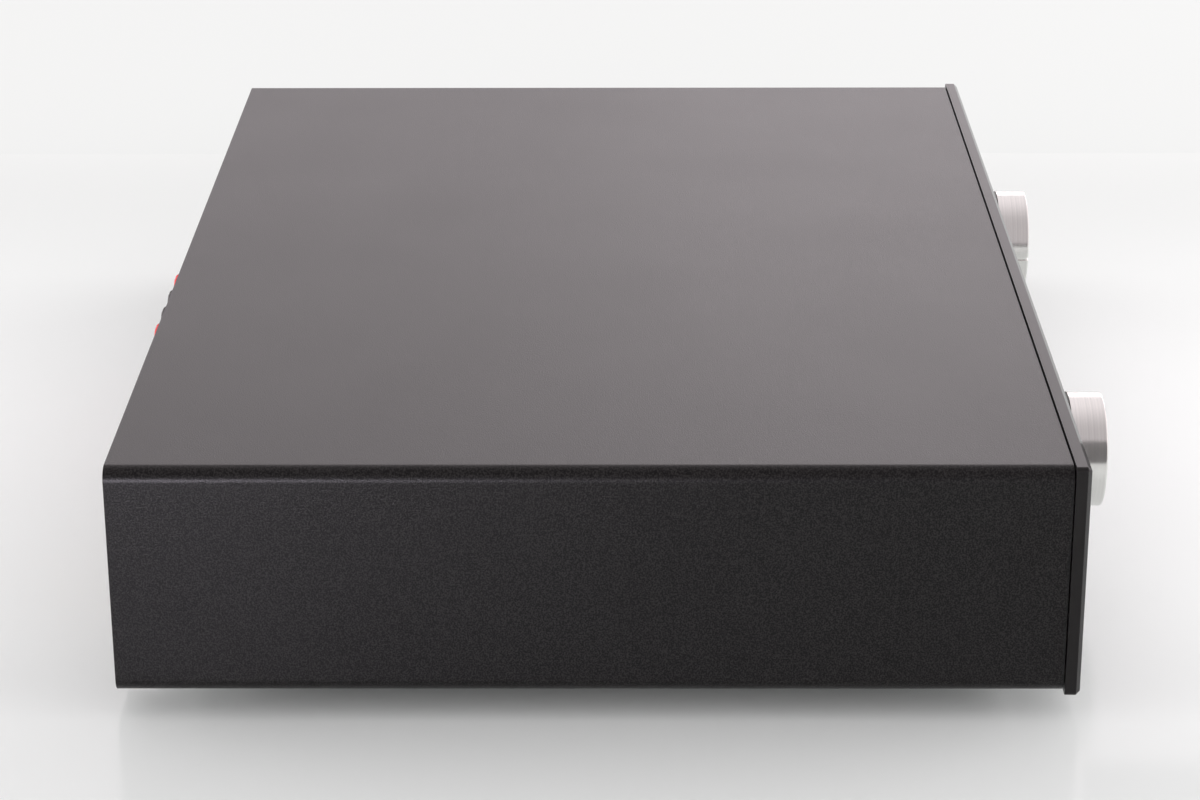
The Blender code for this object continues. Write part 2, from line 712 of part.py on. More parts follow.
def make_feet():
    """Rubber feet, each with a screw in its recess that goes up into the tray."""
    height = TRAY_UNDER - REST_GAP
    hole = SCREW_RADIUS + REST_GAP
    profile = [
        (hole, height),
        (FOOT_RADIUS - FOOT_CHAMFER / 2, height),
        (FOOT_RADIUS, height - FOOT_CHAMFER / 2),
        (FOOT_RADIUS, FOOT_CHAMFER),
        (FOOT_RADIUS - FOOT_CHAMFER, 0),
        (FOOT_RECESS_RADIUS, 0),
        (FOOT_RECESS_RADIUS, FOOT_RECESS_DEPTH),
        (hole, FOOT_RECESS_DEPTH),
    ]
    for name, (x, y) in zip(CORNER_NAMES, foot_places()):
        turned(f"foot_{name}", profile, RUBBER, (x, y, 0), UPWARD, BODY_STEPS, ring=True)
        head = (x, y, FOOT_RECESS_DEPTH - REST_GAP)
        reach = TRAY_TOP - FOOT_RECESS_DEPTH + REST_GAP + SCREW_REACH
        screw(f"foot_screw_{name}", head, DOWNWARD, reach)


def make_cover_screws():
    for name, (x, y) in zip(CORNER_NAMES, cover_screw_places()):
        head = (x, y, CASE_LIFT - REST_GAP)
        reach = TRAY_TOP - CASE_LIFT + REST_GAP + SCREW_REACH
        screw(f"cover_screw_{name}", head, DOWNWARD, reach)


def make_control(name, knob, x, radius, depth, pointer):
    """A knob on its shaft, with the control that the shaft turns clamped to the front wall.

    Heights run from the panel face, out of the front.
    """
    wall_face = PANEL_FACE - WALL_FACE
    wall_back = PANEL_FACE - WALL_BACK
    position = (x, PANEL_FACE, KNOB_Z)
    bore = SHAFT_RADIUS + RUN_GAP
    body_top = wall_back - REST_GAP
    nut_low = wall_face + REST_GAP
    bush_top = wall_face + BUSH_LENGTH
    shaft_low = body_top - SHAFT_SEAT
    shaft_top = KNOB_REACH - KNOB_FACE_WALL - REST_GAP
    body = [
        (0, shaft_low - REST_GAP),
        (bore, shaft_low - REST_GAP),
        (bore, bush_top),
        (BUSH_RADIUS, bush_top),
        (BUSH_RADIUS, nut_low + NUT_HEIGHT),
        (NUT_RADIUS, nut_low + NUT_HEIGHT),
        (NUT_RADIUS, nut_low),
        (BUSH_RADIUS, nut_low),
        (BUSH_RADIUS, body_top),
        (radius, body_top),
        (radius, body_top - depth),
        (0, body_top - depth),
    ]
    turned(name, body, ZINC_STEEL, position, FORWARD, BODY_STEPS)
    shaft = [(0, shaft_top), (SHAFT_RADIUS, shaft_top), (SHAFT_RADIUS, shaft_low), (0, shaft_low)]
    turned(f"{knob}_shaft", shaft, ZINC_STEEL, position, FORWARD, BODY_STEPS)

    rim_back = KNOB_REACH - KNOB_RIM
    hole = SHAFT_RADIUS + REST_GAP
    profile = [(0, KNOB_REACH)]
    edge = (KNOB_RADIUS - KNOB_EDGE, KNOB_REACH - KNOB_EDGE)
    profile += arc(edge, KNOB_EDGE, 90, 0, CORNER_STEPS)
    profile += [
        (KNOB_RADIUS, rim_back + KNOB_BACK_EDGE),
        (KNOB_RADIUS - KNOB_BACK_EDGE, rim_back),
        (KNOB_HUB_RADIUS, rim_back),
        (KNOB_HUB_RADIUS, KNOB_BACK_GAP),
        (hole, KNOB_BACK_GAP),
        (hole, KNOB_REACH - KNOB_FACE_WALL),
        (0, KNOB_REACH - KNOB_FACE_WALL),
    ]
    part = turned(f"{knob}_knob", profile, TURNED, position, FORWARD, KNOB_STEPS)
    inner = KNOB_RADIUS - POINTER_LENGTH
    outline = [
        (inner, KNOB_REACH - POINTER_DEPTH),
        (KNOB_RADIUS - POINTER_DEPTH, KNOB_REACH - POINTER_DEPTH),
        (KNOB_RADIUS - POINTER_DEPTH, rim_back - OVERRUN),
        (KNOB_RADIUS + OVERRUN, rim_back - OVERRUN),
        (KNOB_RADIUS + OVERRUN, KNOB_REACH + OVERRUN),
        (inner, KNOB_REACH + OVERRUN),
    ]
    groove = bmesh.new()
    groove.from_mesh(plate_mesh("pointer", outline, POINTER_WIDTH))
    turn = Matrix.Rotation(pointer, 4, "Z")
    groove.transform(Matrix.Translation(position) @ FORWARD @ turn @ FORWARD)
    cut(part, groove)


def make_power_button():
    """The button slides in a blind bore of its switch, and the board behind carries both."""
    position = (BUTTON_X, PANEL_FACE, CONTROL_Z)
    wall_back = PANEL_FACE - WALL_BACK
    switch_top = wall_back - REST_GAP
    inner = switch_top - BUTTON_SEAT
    profile = [
        (0, BUTTON_PROUD),
        (BUTTON_RADIUS - BUTTON_EDGE, BUTTON_PROUD),
        (BUTTON_RADIUS, BUTTON_PROUD - BUTTON_EDGE),
        (BUTTON_RADIUS, inner),
        (0, inner),
    ]
    turned("power_button", profile, TURNED, position, FORWARD, BODY_STEPS)

    front = PANEL_FACE - switch_top
    side = SWITCH_SIDE / 2
    switch = block(
        "power_switch",
        (BUTTON_X - side, front, CONTROL_Z - side),
        (BUTTON_X + side, front + SWITCH_DEPTH, CONTROL_Z + side),
        BLACK_PLASTIC,
    )
    bore = bmesh.new()
    bottom = PANEL_FACE - inner + BUTTON_TRAVEL + REST_GAP
    rod_in(
        bore,
        (BUTTON_X, front - OVERRUN, CONTROL_Z),
        (BUTTON_X, bottom, CONTROL_Z),
        BUTTON_RADIUS + RUN_GAP,
        BODY_STEPS,
    )
    cut(switch, bore)

    board = front + SWITCH_DEPTH + REST_GAP
    middle = BUTTON_X + WINDOW_STEP / 2
    block(
        "control_board",
        (middle - CONTROL_WIDTH / 2, board, CONTROL_Z - CONTROL_HEIGHT / 2),
        (middle + CONTROL_WIDTH / 2, board + BOARD_THICKNESS, CONTROL_Z + CONTROL_HEIGHT / 2),
        BOARD_GREEN,
    )
    low = PANEL_FACE - board + REST_GAP
    lens = [(0, 0), (WINDOW_RADIUS, 0), (WINDOW_RADIUS, low), (0, low)]
    place_of_lens = (BUTTON_X + WINDOW_STEP, PANEL_FACE, CONTROL_Z)
    turned("indicator_window", lens, DARK_LENS, place_of_lens, FORWARD, SMALL_STEPS)


def make_mains_inlet():
    """The inlet's housing, open to the rear, and the three pins that go through its floor."""
    flange_front = REAR_FACE + REST_GAP
    mouth = flange_front + INLET_FLANGE_THICKNESS
    deep = mouth - INLET_DEPTH
    floor = deep + INLET_FLOOR
    half_width = INLET_WIDTH / 2
    half_height = INLET_HEIGHT / 2
    inlet = block(
        "mains_inlet",
        (INLET_X - INLET_FLANGE_WIDTH / 2, flange_front, CASE_MIDDLE - INLET_FLANGE_HEIGHT / 2),
        (INLET_X + INLET_FLANGE_WIDTH / 2, mouth, CASE_MIDDLE + INLET_FLANGE_HEIGHT / 2),
        BLACK_PLASTIC,
    )
    body = bmesh.new()
    box_in(
        body,
        (INLET_X - half_width, deep, CASE_MIDDLE - half_height),
        (INLET_X + half_width, flange_front + INLET_FLANGE_THICKNESS / 2, CASE_MIDDLE + half_height),
    )
    cut(inlet, body, "UNION")
    inner_width = half_width - INLET_WALL
    inner_height = half_height - INLET_WALL
    outline = [
        (-inner_width, -inner_height),
        (inner_width, -inner_height),
        (inner_width, inner_height - INLET_CORNER),
        (inner_width - INLET_CORNER, inner_height),
        (-inner_width + INLET_CORNER, inner_height),
        (-inner_width, inner_height - INLET_CORNER),
    ]
    depth = mouth + OVERRUN - floor
    cavity = bmesh.new()
    cavity.from_mesh(plate_mesh("cavity", outline, depth))
    cavity.transform(Matrix.Translation((INLET_X, floor + depth / 2, CASE_MIDDLE)) @ FORWARD)
    cut(inlet, cavity)
    slots = bmesh.new()
    for name, x, z in (
        ("live", -PIN_SPREAD, -PIN_DROP),
        ("neutral", PIN_SPREAD, -PIN_DROP),
        ("earth", 0, PIN_DROP),
    ):
        left = INLET_X + x - PIN_WIDTH / 2
        low = CASE_MIDDLE + z - PIN_HEIGHT / 2
        block(
            f"inlet_pin_{name}",
            (left, deep - PIN_TAIL, low),
            (left + PIN_WIDTH, mouth - PIN_SHORT, low + PIN_HEIGHT),
            NICKEL,
        )
        box_in(
            slots,
            (left - REST_GAP, deep - OVERRUN, low - REST_GAP),
            (left + PIN_WIDTH + REST_GAP, floor + OVERRUN, low + PIN_HEIGHT + REST_GAP),
        )
    cut(inlet, slots)


def make_post(name, x, plastic):
    """One speaker post. Heights run from the rear panel's face, out of the back."""
    position = (x, REAR_FACE, CASE_MIDDLE)
    hole = POST_STUD + REST_GAP
    collar_low = REST_GAP
    collar_top = collar_low + POST_COLLAR
    collar = [
        (hole, collar_top),
        (POST_RADIUS - POST_CHAMFER, collar_top),
        (POST_RADIUS, collar_top - POST_CHAMFER),
        (POST_RADIUS, collar_low),
        (POST_SPIGOT, collar_low),
        (POST_SPIGOT, -REAR_SHEET),
        (hole, -REAR_SHEET),
    ]
    turned(f"post_collar_{name}", collar, plastic, position, BACKWARD, BODY_STEPS, ring=True)

    washer_low = collar_top + REST_GAP
    washer_top = washer_low + POST_WASHER
    ring = POST_STUD + RUN_GAP
    washer = [
        (ring, washer_top),
        (POST_WASHER_RADIUS, washer_top),
        (POST_WASHER_RADIUS, washer_low),
        (ring, washer_low),
    ]
    turned(f"post_washer_{name}", washer, GILT, position, BACKWARD, SMALL_STEPS, ring=True)

    cap_low = washer_top + REST_GAP
    cap_top = REAR_RECESS + POST_REACH
    end = cap_top - POST_END_WALL
    socket = POST_SOCKET + RUN_GAP
    cap = [
        (socket, cap_top),
        (POST_RADIUS - POST_CHAMFER, cap_top),
        (POST_RADIUS, cap_top - POST_CHAMFER),
        (POST_RADIUS, cap_low + POST_CHAMFER),
        (POST_RADIUS - POST_CHAMFER, cap_low),
        (ring, cap_low),
        (ring, end),
        (socket, end),
    ]
    part = turned(f"post_cap_{name}", cap, plastic, position, BACKWARD, BODY_STEPS, ring=True)
    flutes = bmesh.new()
    reach = POST_RADIUS - FLUTE_DEPTH + FLUTE_RADIUS
    for step in range(FLUTE_COUNT):
        angle = 2 * math.pi * (step + 0.5) / FLUTE_COUNT
        across = x + reach * math.cos(angle)
        up = CASE_MIDDLE + reach * math.sin(angle)
        rod_in(
            flutes,
            (across, REAR_FACE + cap_low + FLUTE_END, up),
            (across, REAR_FACE + cap_top + OVERRUN, up),
            FLUTE_RADIUS,
            FLUTE_STEPS,
        )
    cut(part, flutes)

    nut_top = -REAR_SHEET - REST_GAP
    tail = nut_top - POST_NUT_HEIGHT - POST_TAIL
    stud_top = end - REST_GAP
    stud = [
        (0, stud_top - POST_SOCKET_DEPTH),
        (POST_SOCKET, stud_top - POST_SOCKET_DEPTH),
        (POST_SOCKET, stud_top),
        (POST_STUD, stud_top),
        (POST_STUD, nut_top),
        (POST_NUT, nut_top),
        (POST_NUT, nut_top - POST_NUT_HEIGHT),
        (POST_STUD, nut_top - POST_NUT_HEIGHT),
        (POST_STUD, tail),
        (0, tail),
    ]
    rod = turned(f"post_stud_{name}", stud, GILT, position, BACKWARD, SMALL_STEPS)
    wire = bmesh.new()
    hole_y = REAR_FACE + collar_top + REST_GAP + POST_WIRE_HOLE
    rod_in(
        wire,
        (x, hole_y, CASE_MIDDLE - POST_STUD - OVERRUN),
        (x, hole_y, CASE_MIDDLE + POST_STUD + OVERRUN),
        POST_WIRE_HOLE,
        FLUTE_STEPS,
    )
    cut(rod, wire)


def make_phono_sockets():
    """Heights run from the rear panel's face, out of the back."""
    flange_low = REST_GAP
    flange_top = flange_low + PHONO_FLANGE_THICKNESS
    top = flange_top + PHONO_LENGTH
    nut_top = -REAR_SHEET - REST_GAP
    nut_low = nut_top - PHONO_NUT_HEIGHT
    tail = nut_low - PHONO_TAIL
    profile = [
        (0, top - PHONO_BORE_DEPTH),
        (PHONO_BORE, top - PHONO_BORE_DEPTH),
        (PHONO_BORE, top),
        (PHONO_RADIUS - PHONO_CHAMFER, top),
        (PHONO_RADIUS, top - PHONO_CHAMFER),
        (PHONO_RADIUS, flange_top),
        (PHONO_FLANGE, flange_top),
        (PHONO_FLANGE, flange_low),
        (PHONO_NECK, flange_low),
        (PHONO_NECK, nut_top),
        (PHONO_NUT, nut_top),
        (PHONO_NUT, nut_low),
        (PHONO_BORE, nut_low),
        (PHONO_BORE, tail),
        (0, tail),
    ]
    for name, x, z in phono_places():
        turned(name, profile, GILT, (x, REAR_FACE, z), BACKWARD, SMALL_STEPS)


def make_main_board():
    """The main board on the tray's pillars, with its two smoothing capacitors."""
    back = REAR_BACK - MAIN_BOARD_MARGIN
    front = back - MAIN_BOARD_DEPTH
    low = (MAIN_BOARD_LEFT, front, BOARD_UNDER)
    block("main_board", low, (MAIN_BOARD_RIGHT, back, BOARD_TOP), BOARD_GREEN)
    bottom = REST_GAP
    top = bottom + CAPACITOR_HEIGHT
    profile = [
        (0, top),
        (CAPACITOR_RADIUS - CAPACITOR_EDGE, top),
        (CAPACITOR_RADIUS, top - CAPACITOR_EDGE),
        (CAPACITOR_RADIUS, bottom),
        (0, bottom),
    ]
    for step in range(2):
        x = MAIN_BOARD_RIGHT - CAPACITOR_INSET - step * CAPACITOR_PITCH
        position = (x, front + CAPACITOR_INSET, BOARD_TOP)
        turned(f"capacitor_{step + 1}", profile, CAN_SLEEVE, position, UPWARD, BODY_STEPS)


def make_heatsink():
    """A base plate on edge, with fins that point into the case."""
    low = TRAY_TOP + REST_GAP
    high = low + HEATSINK_HEIGHT
    front = CASE_CENTRE - HEATSINK_LENGTH / 2
    base = HEATSINK_BACK + HEATSINK_BASE
    heatsink = block(
        "heatsink",
        (HEATSINK_BACK, front, low),
        (base, front + HEATSINK_LENGTH, high),
        BLACK_FINS,
    )
    fins = bmesh.new()
    step = (HEATSINK_LENGTH - HEATSINK_FIN) / (HEATSINK_FIN_COUNT - 1)
    for count in range(HEATSINK_FIN_COUNT):
        y = front + count * step
        box_in(
            fins,
            (base - HEATSINK_BASE / 2, y, low),
            (base + HEATSINK_FIN_REACH, y + HEATSINK_FIN, high),
        )
    cut(heatsink, fins, "UNION")


def make_transformer():
    """A toroid flat on the tray, held down by a plate and a bolt through its middle."""
    position = (TOROID_X, TOROID_Y, TRAY_TOP)
    low = REST_GAP
    high = low + TOROID_HEIGHT
    outer = TOROID_RADIUS - TOROID_EDGE
    profile = [(TOROID_BORE, high)]
    profile += arc((outer, high - TOROID_EDGE), TOROID_EDGE, 90, 0, CORNER_STEPS)
    profile += arc((outer, low + TOROID_EDGE), TOROID_EDGE, 0, -90, CORNER_STEPS)
    profile.append((TOROID_BORE, low))
    turned("transformer", profile, WINDING_FILM, position, UPWARD, BODY_STEPS, ring=True)
    plate_low = high + REST_GAP
    plate_top = plate_low + CLAMP_SHEET
    clamp = [
        (0, plate_top + BOLT_HEAD_HEIGHT),
        (BOLT_HEAD_RADIUS, plate_top + BOLT_HEAD_HEIGHT),
        (BOLT_HEAD_RADIUS, plate_top),
        (CLAMP_RADIUS, plate_top),
        (CLAMP_RADIUS, plate_low),
        (BOLT_RADIUS, plate_low),
        (BOLT_RADIUS, low),
        (0, low),
    ]
    turned("transformer_clamp", clamp, ZINC_STEEL, position, UPWARD, BODY_STEPS)


make_cover()
make_tray()
make_front_panel()
make_rear_panel()
make_feet()
make_cover_screws()
make_control("volume_potentiometer", "volume", KNOB_X, POT_RADIUS, POT_DEPTH, VOLUME_POINTER)
make_control(
    "selector_switch", "selector", -KNOB_X, SELECTOR_RADIUS, SELECTOR_DEPTH, SELECTOR_POINTER
)
make_power_button()
make_mains_inlet()
for post, post_x in post_places():
    make_post(post, post_x, POST_RED if post.endswith("plus") else POST_BLACK)
make_phono_sockets()
make_main_board()
make_heatsink()
make_transformer()
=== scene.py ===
"""Integrated amplifier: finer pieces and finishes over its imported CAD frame, in metres."""

import math

import bmesh
import bpy
from mathutils import Matrix, Vector


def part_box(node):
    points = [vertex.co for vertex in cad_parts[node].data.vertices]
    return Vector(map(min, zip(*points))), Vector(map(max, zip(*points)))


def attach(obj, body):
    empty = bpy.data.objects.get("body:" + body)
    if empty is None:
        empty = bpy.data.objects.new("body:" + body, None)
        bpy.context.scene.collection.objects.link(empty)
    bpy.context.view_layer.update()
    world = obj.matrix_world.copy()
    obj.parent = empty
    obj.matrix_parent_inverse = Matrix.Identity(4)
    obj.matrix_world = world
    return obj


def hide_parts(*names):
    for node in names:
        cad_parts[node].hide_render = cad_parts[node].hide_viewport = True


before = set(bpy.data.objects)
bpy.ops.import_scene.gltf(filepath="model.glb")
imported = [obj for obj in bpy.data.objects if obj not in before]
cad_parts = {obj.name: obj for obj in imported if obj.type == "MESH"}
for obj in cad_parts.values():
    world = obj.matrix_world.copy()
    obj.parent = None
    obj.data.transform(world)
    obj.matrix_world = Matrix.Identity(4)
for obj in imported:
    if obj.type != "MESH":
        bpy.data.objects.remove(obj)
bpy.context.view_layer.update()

# Chassis tray. One sheet of zinc-plated steel that carries everything inside, with a front wall
# for the controls and a low lip at the rear. Its pillars, slots and holes are pressed and punched
# before it is folded, and the sleeve and the feet are screwed up into it.


class Wire:
    """One output in a material's node tree. Sums and products of wires add Math nodes."""

    def __init__(self, tree, socket=None):
        self.tree = tree
        self.socket = socket

    def node(self, kind, settings, sockets, output=0):
        """Adds a node: its settings first, then the values or links of its sockets."""
        made = self.tree.nodes.new("ShaderNode" + kind)
        for name, value in settings.items():
            setattr(made, name, value)
        for name, value in sockets.items():
            if isinstance(value, Wire):
                self.tree.links.new(value.socket, made.inputs[name])
            else:
                made.inputs[name].default_value = value
        return Wire(self.tree, made.outputs[output]) if made.outputs else None

    def math(self, operation, *values):
        """A Math node on these values, numbers or wires."""
        return self.node("Math", {"operation": operation}, dict(enumerate(values)))

    def __add__(self, other):
        return self.math("ADD", self, other)

    def __sub__(self, other):
        return self.math("SUBTRACT", self, other)

    def __rsub__(self, other):
        return self.math("SUBTRACT", other, self)

    def __mul__(self, other):
        return self.math("MULTIPLY", self, other)

    __radd__ = __add__
    __rmul__ = __mul__

    def axes(self):
        """The X, Y and Z of these coordinates."""
        return [self.node("SeparateXYZ", {}, {"Vector": self}, axis) for axis in "XYZ"]

    def noise(self, scale, detail=2.0):
        """Cloudy noise from 0 to 1 in these coordinates, with so many swirls to the metre."""
        return self.node("TexNoise", {}, {"Vector": self, "Scale": scale, "Detail": detail})

    def ramp(self, low, high, first=0.0, last=1.0):
        """Goes from first to last as the value goes from low to high."""
        ends = {"Value": self, "From Min": low, "From Max": high, "To Min": first, "To Max": last}
        return self.node("MapRange", {"interpolation_type": "SMOOTHSTEP"}, ends)

    def mix(self, first, second):
        """From the first colour at 0 to the second at 1."""
        return self.node("Mix", {"data_type": "RGBA"}, {0: self, 6: first, 7: second}, 2)

    def bump(self, depth):
        """Normals of a surface this much higher, in metres, where the value is 1."""
        return self.node("Bump", {}, {"Height": self, "Distance": depth})


def start_finish(name):
    """A new material, with the coordinates that its patterns are laid out in."""
    material = bpy.data.materials.new(name)
    material.use_nodes = True
    material.node_tree.nodes.clear()
    return material, Wire(material.node_tree).node("TexCoord", {}, {}, "Object")


def end_finish(place, sockets):
    """Ends a material with a surface that has these values or wires in its sockets."""
    surface = place.node("BsdfPrincipled", {}, sockets)
    place.node("OutputMaterial", {}, {"Surface": surface})


def grey(value, warmth=0.0):
    """A grey, a little warmer or cooler by a share of its own value."""
    return (value * (1 + warmth), value, value * (1 - warmth), 1)


def refinish(node, finish):
    """Gives a part of the CAD frame its final material."""
    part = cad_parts[node]
    for place in part.material_slots:
        place.material = finish


zinc, place = start_finish("zinc_plate")
cloud = place.noise(45, 4)
scuff = place.noise(900)
end_finish(
    place,
    {
        "Base Color": cloud.mix(grey(0.50, -0.03), grey(0.62, 0.02)),
        "Metallic": 1,
        "Roughness": 0.28 + cloud * 0.12 + scuff * 0.06,
        "Normal": (cloud * 0.3 + scuff).bump(0.00001),
    },
)
refinish("chassis_tray", zinc)

# Main board with its two smoothing capacitors. The board is glass epoxy under green lacquer,
# screwed to the tray's pillars. Each capacitor is an aluminium can, crimped near its foot, in a
# shrunk plastic sleeve, and stands in the board.
WELD = 0.000005  # corners nearer than this are one
CORNER_STEPS = 5
CAN_CRIMP = 0.0012  # depth of the groove near the foot
CAN_CRIMP_HEIGHT = 0.0045
CAN_CRIMP_REACH = 0.0015  # half the groove's height
CAN_LID_DEPTH = 0.0008
CAN_LID_INSET = 0.0035
CAN_LIP = 0.0026  # the plastic sleeve's hem over the top
CAN_SHOULDER = 0.0012


def spun(outline, steps, ring=False):
    """Spins corners given as (radius, height, rounding) round Z into a closed shape."""
    shape = bmesh.new()
    corners = [shape.verts.new((radius, 0, height)) for radius, height, _ in outline]
    pairs = list(zip(corners, corners[1:]))
    if ring:
        pairs.append((corners[-1], corners[0]))
    for pair in pairs:
        shape.edges.new(pair)
    for corner, (_, _, rounding) in zip(corners, outline):
        if rounding:
            round_off(shape, [corner], "VERTICES", rounding, CORNER_STEPS)
    bmesh.ops.spin(
        shape,
        geom=shape.verts[:] + shape.edges[:],
        cent=(0, 0, 0),
        axis=(0, 0, 1),
        dvec=(0, 0, 0),
        angle=math.tau,
        steps=steps,
        use_merge=True,
    )
    bmesh.ops.remove_doubles(shape, verts=shape.verts, dist=WELD)
    bmesh.ops.recalc_face_normals(shape, faces=shape.faces)
    return shape


def round_off(shape, items, kind, rounding, steps):
    """Rounds corners, kind VERTICES, or edges, kind EDGES. One step cuts them flat."""
    bmesh.ops.bevel(
        shape,
        geom=items,
        offset=rounding,
        segments=steps,
        profile=0.5,
        affect=kind,
        material=-1,
    )


def stand(shape, low, high):
    """Stands a shape made round Z on the floor of its node's box."""
    middle = (low + high) / 2
    shape.transform(Matrix.Translation((middle.x, middle.y, low.z)))


def new_object(name, shape, finishes):
    """Ends a shape as an object of the scene."""
    mesh = bpy.data.meshes.new(name)
    shape.to_mesh(mesh)
    shape.free()
    for finish in finishes:
        mesh.materials.append(finish)
    made = bpy.data.objects.new(name, mesh)
    bpy.context.scene.collection.objects.link(made)
    return made


def add_piece(name, shape, finishes, body, nodes, sharp=30):
    """Makes a shape a smooth-shaded piece on a body of the frame, in place of its nodes."""
    piece = new_object(name, shape, finishes)
    piece.data.shade_smooth()
    piece.data.set_sharp_from_angle(angle=math.radians(sharp))
    even = piece.modifiers.new("Even normals", "WEIGHTED_NORMAL")
    even.keep_sharp = True
    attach(piece, body)
    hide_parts(*nodes)
    return piece


lacquer, place = start_finish("board_lacquer")
tracks = place.node(
    "TexBrick",
    {"offset": 0.37, "squash": 1.6},
    {
        "Vector": place,
        "Scale": 90,
        "Mortar Size": 0.06,
        "Color1": grey(0),
        "Color2": grey(1),
        "Mortar": grey(0.5),
    },
)
weave = place.noise(1400)
end_finish(
    place,
    {
        "Base Color": tracks.mix((0.012, 0.10, 0.035, 1), (0.02, 0.16, 0.055, 1)),
        "Roughness": 0.25 + weave * 0.15,
        "Normal": (tracks * 0.6 + weave * 0.4).bump(0.00004),
    },
)
refinish("main_board", lacquer)
refinish("control_board", lacquer)

can, place = start_finish("can_sleeve")
wrinkle = place.noise(260, 3)
end_finish(
    place,
    {
        "Base Color": wrinkle.mix((0.012, 0.018, 0.045, 1), (0.02, 0.028, 0.06, 1)),
        "Roughness": 0.22 + wrinkle * 0.12,
        "Normal": wrinkle.bump(0.00003),
    },
)
for node in ("capacitor_1", "capacitor_2"):
    low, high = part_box(node)
    radius = (high.x - low.x) / 2
    tall = high.z - low.z
    shape = spun(
        [
            (0, tall - CAN_LID_DEPTH, 0),
            (radius - CAN_LID_INSET, tall - CAN_LID_DEPTH, 0),
            (radius - CAN_LIP, tall, 0.0004),
            (radius, tall, CAN_SHOULDER),
            (radius, CAN_CRIMP_HEIGHT + CAN_CRIMP_REACH, 0.0008),
            (radius - CAN_CRIMP, CAN_CRIMP_HEIGHT, 0.0008),
            (radius, CAN_CRIMP_HEIGHT - CAN_CRIMP_REACH, 0.0008),
            (radius, 0, 0.0006),
            (0, 0, 0),
        ],
        64,
    )
    stand(shape, low, high)
    add_piece(f"can_{node[-1]}", shape, [can], "case", [node])

# Heatsink. An aluminium extrusion with nine fins, cut to length and anodised black, that stands
# on the tray along the left side and cools the output transistors.
fins, place = start_finish("black_fins")
draw = place.node("Mapping", {}, {"Vector": place, "Scale": (1, 1, 0.02)}).noise(2600)
bloom = place.noise(70, 3)
end_finish(
    place,
    {
        "Base Color": bloom.mix(grey(0.018), grey(0.034, -0.04)),
        "Metallic": 0.5,
        "Roughness": 0.38 + draw * 0.18,
        "Normal": draw.bump(0.000015),
    },
)
refinish("heatsink", fins)

# Mains transformer. A ring of wound copper under clear amber film, flat on the tray, with its
# turns laid out from the middle like spokes. A flat steel washer and one bolt hold it down.
COIL_BORE = 0.016
COIL_BORE_ROUNDING = 0.005
COIL_ROUNDING = 0.0115
FILM_TURNS = 64
CLAMP_RADIUS = 0.030
CLAMP_THICKNESS = 0.002
BOLT_RADIUS = 0.003
BOLT_HEAD = 0.0058
BOLT_HEAD_HEIGHT = 0.004

low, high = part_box("transformer")
coil_radius = (high.x - low.x) / 2
coil_middle = ((low.x + high.x) / 2, (low.y + high.y) / 2, low.z)
coil_height = high.z - low.z

film, place = start_finish("winding_film")
around = place.node("Mapping", {}, {"Vector": place, "Location": tuple(-c for c in coil_middle)})
x, y, z = around.axes()
turns = x.math("ARCTAN2", y, x) * (FILM_TURNS / math.tau)
lap = turns.math("FRACT", turns)
crease = around.noise(320, 3)
end_finish(
    place,
    {
        "Base Color": lap.mix((0.34, 0.16, 0.03, 1), (0.52, 0.30, 0.07, 1)),
        "Roughness": 0.18 + crease * 0.2,
        "Normal": (lap * 0.7 + crease * 0.6).bump(0.0002),
    },
)
shape = spun(
    [
        (COIL_BORE, coil_height, COIL_BORE_ROUNDING),
        (coil_radius, coil_height, COIL_ROUNDING),
        (coil_radius, 0, COIL_ROUNDING),
        (COIL_BORE, 0, COIL_BORE_ROUNDING),
    ],
    128,
    ring=True,
)
shape.transform(Matrix.Translation(coil_middle))
add_piece("wound_ring", shape, [film], "case", ["transformer"])

low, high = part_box("transformer_clamp")
washer_top = high.z - low.z - BOLT_HEAD_HEIGHT
shape = spun(
    [
        (0, washer_top + BOLT_HEAD_HEIGHT, 0),
        (BOLT_HEAD, washer_top + BOLT_HEAD_HEIGHT, 0.0006),
        (BOLT_HEAD, washer_top, 0),
        (CLAMP_RADIUS, washer_top, 0.0008),
        (CLAMP_RADIUS, washer_top - CLAMP_THICKNESS, 0.0003),
        (BOLT_RADIUS, washer_top - CLAMP_THICKNESS, 0),
        (BOLT_RADIUS, 0, 0.0004),
        (0, 0, 0),
    ],
    64,
)
shape.transform(Matrix.Translation((coil_middle[0], coil_middle[1], low.z)))
add_piece("clamp_washer", shape, [zinc], "case", ["transformer_clamp"])

# Rear panel. A steel sheet, punched for the sockets and the cooling slots and painted satin
# black, that closes the sleeve 10 mm inside its rear edge. Two screws hold it to the tray's lip.
FORWARD = Matrix.Rotation(math.radians(90), 4, "X")  # local Z out of the front
BACKWARD = Matrix.Rotation(math.radians(-90), 4, "X")  # local Z out of the back
DOWNWARD = Matrix.Rotation(math.radians(180), 4, "X")  # local Z out underneath
REAR_CORNER = 0.0026
INLET_OPENING = (0.0278, 0.0208)
INLET_OPENING_CORNER = 0.001
SPIGOT_HOLE = 0.0051
NECK_HOLE = 0.0039
SCREW_HOLE = 0.0023
SLOT_WIDTH = 0.003
SLOT_PITCH = 0.0065
SLOT_LENGTH = 0.034
SLOT_MIDDLE = 0.112
SLOT_COUNT = 7
SLOT_END = SLOT_WIDTH * 0.49  # rounding of its ends, just short of a full half circle
PUNCHED_EDGE = 0.00015


def middle_of(node):
    """The middle of a node's box."""
    return sum(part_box(node), Vector()) / 2


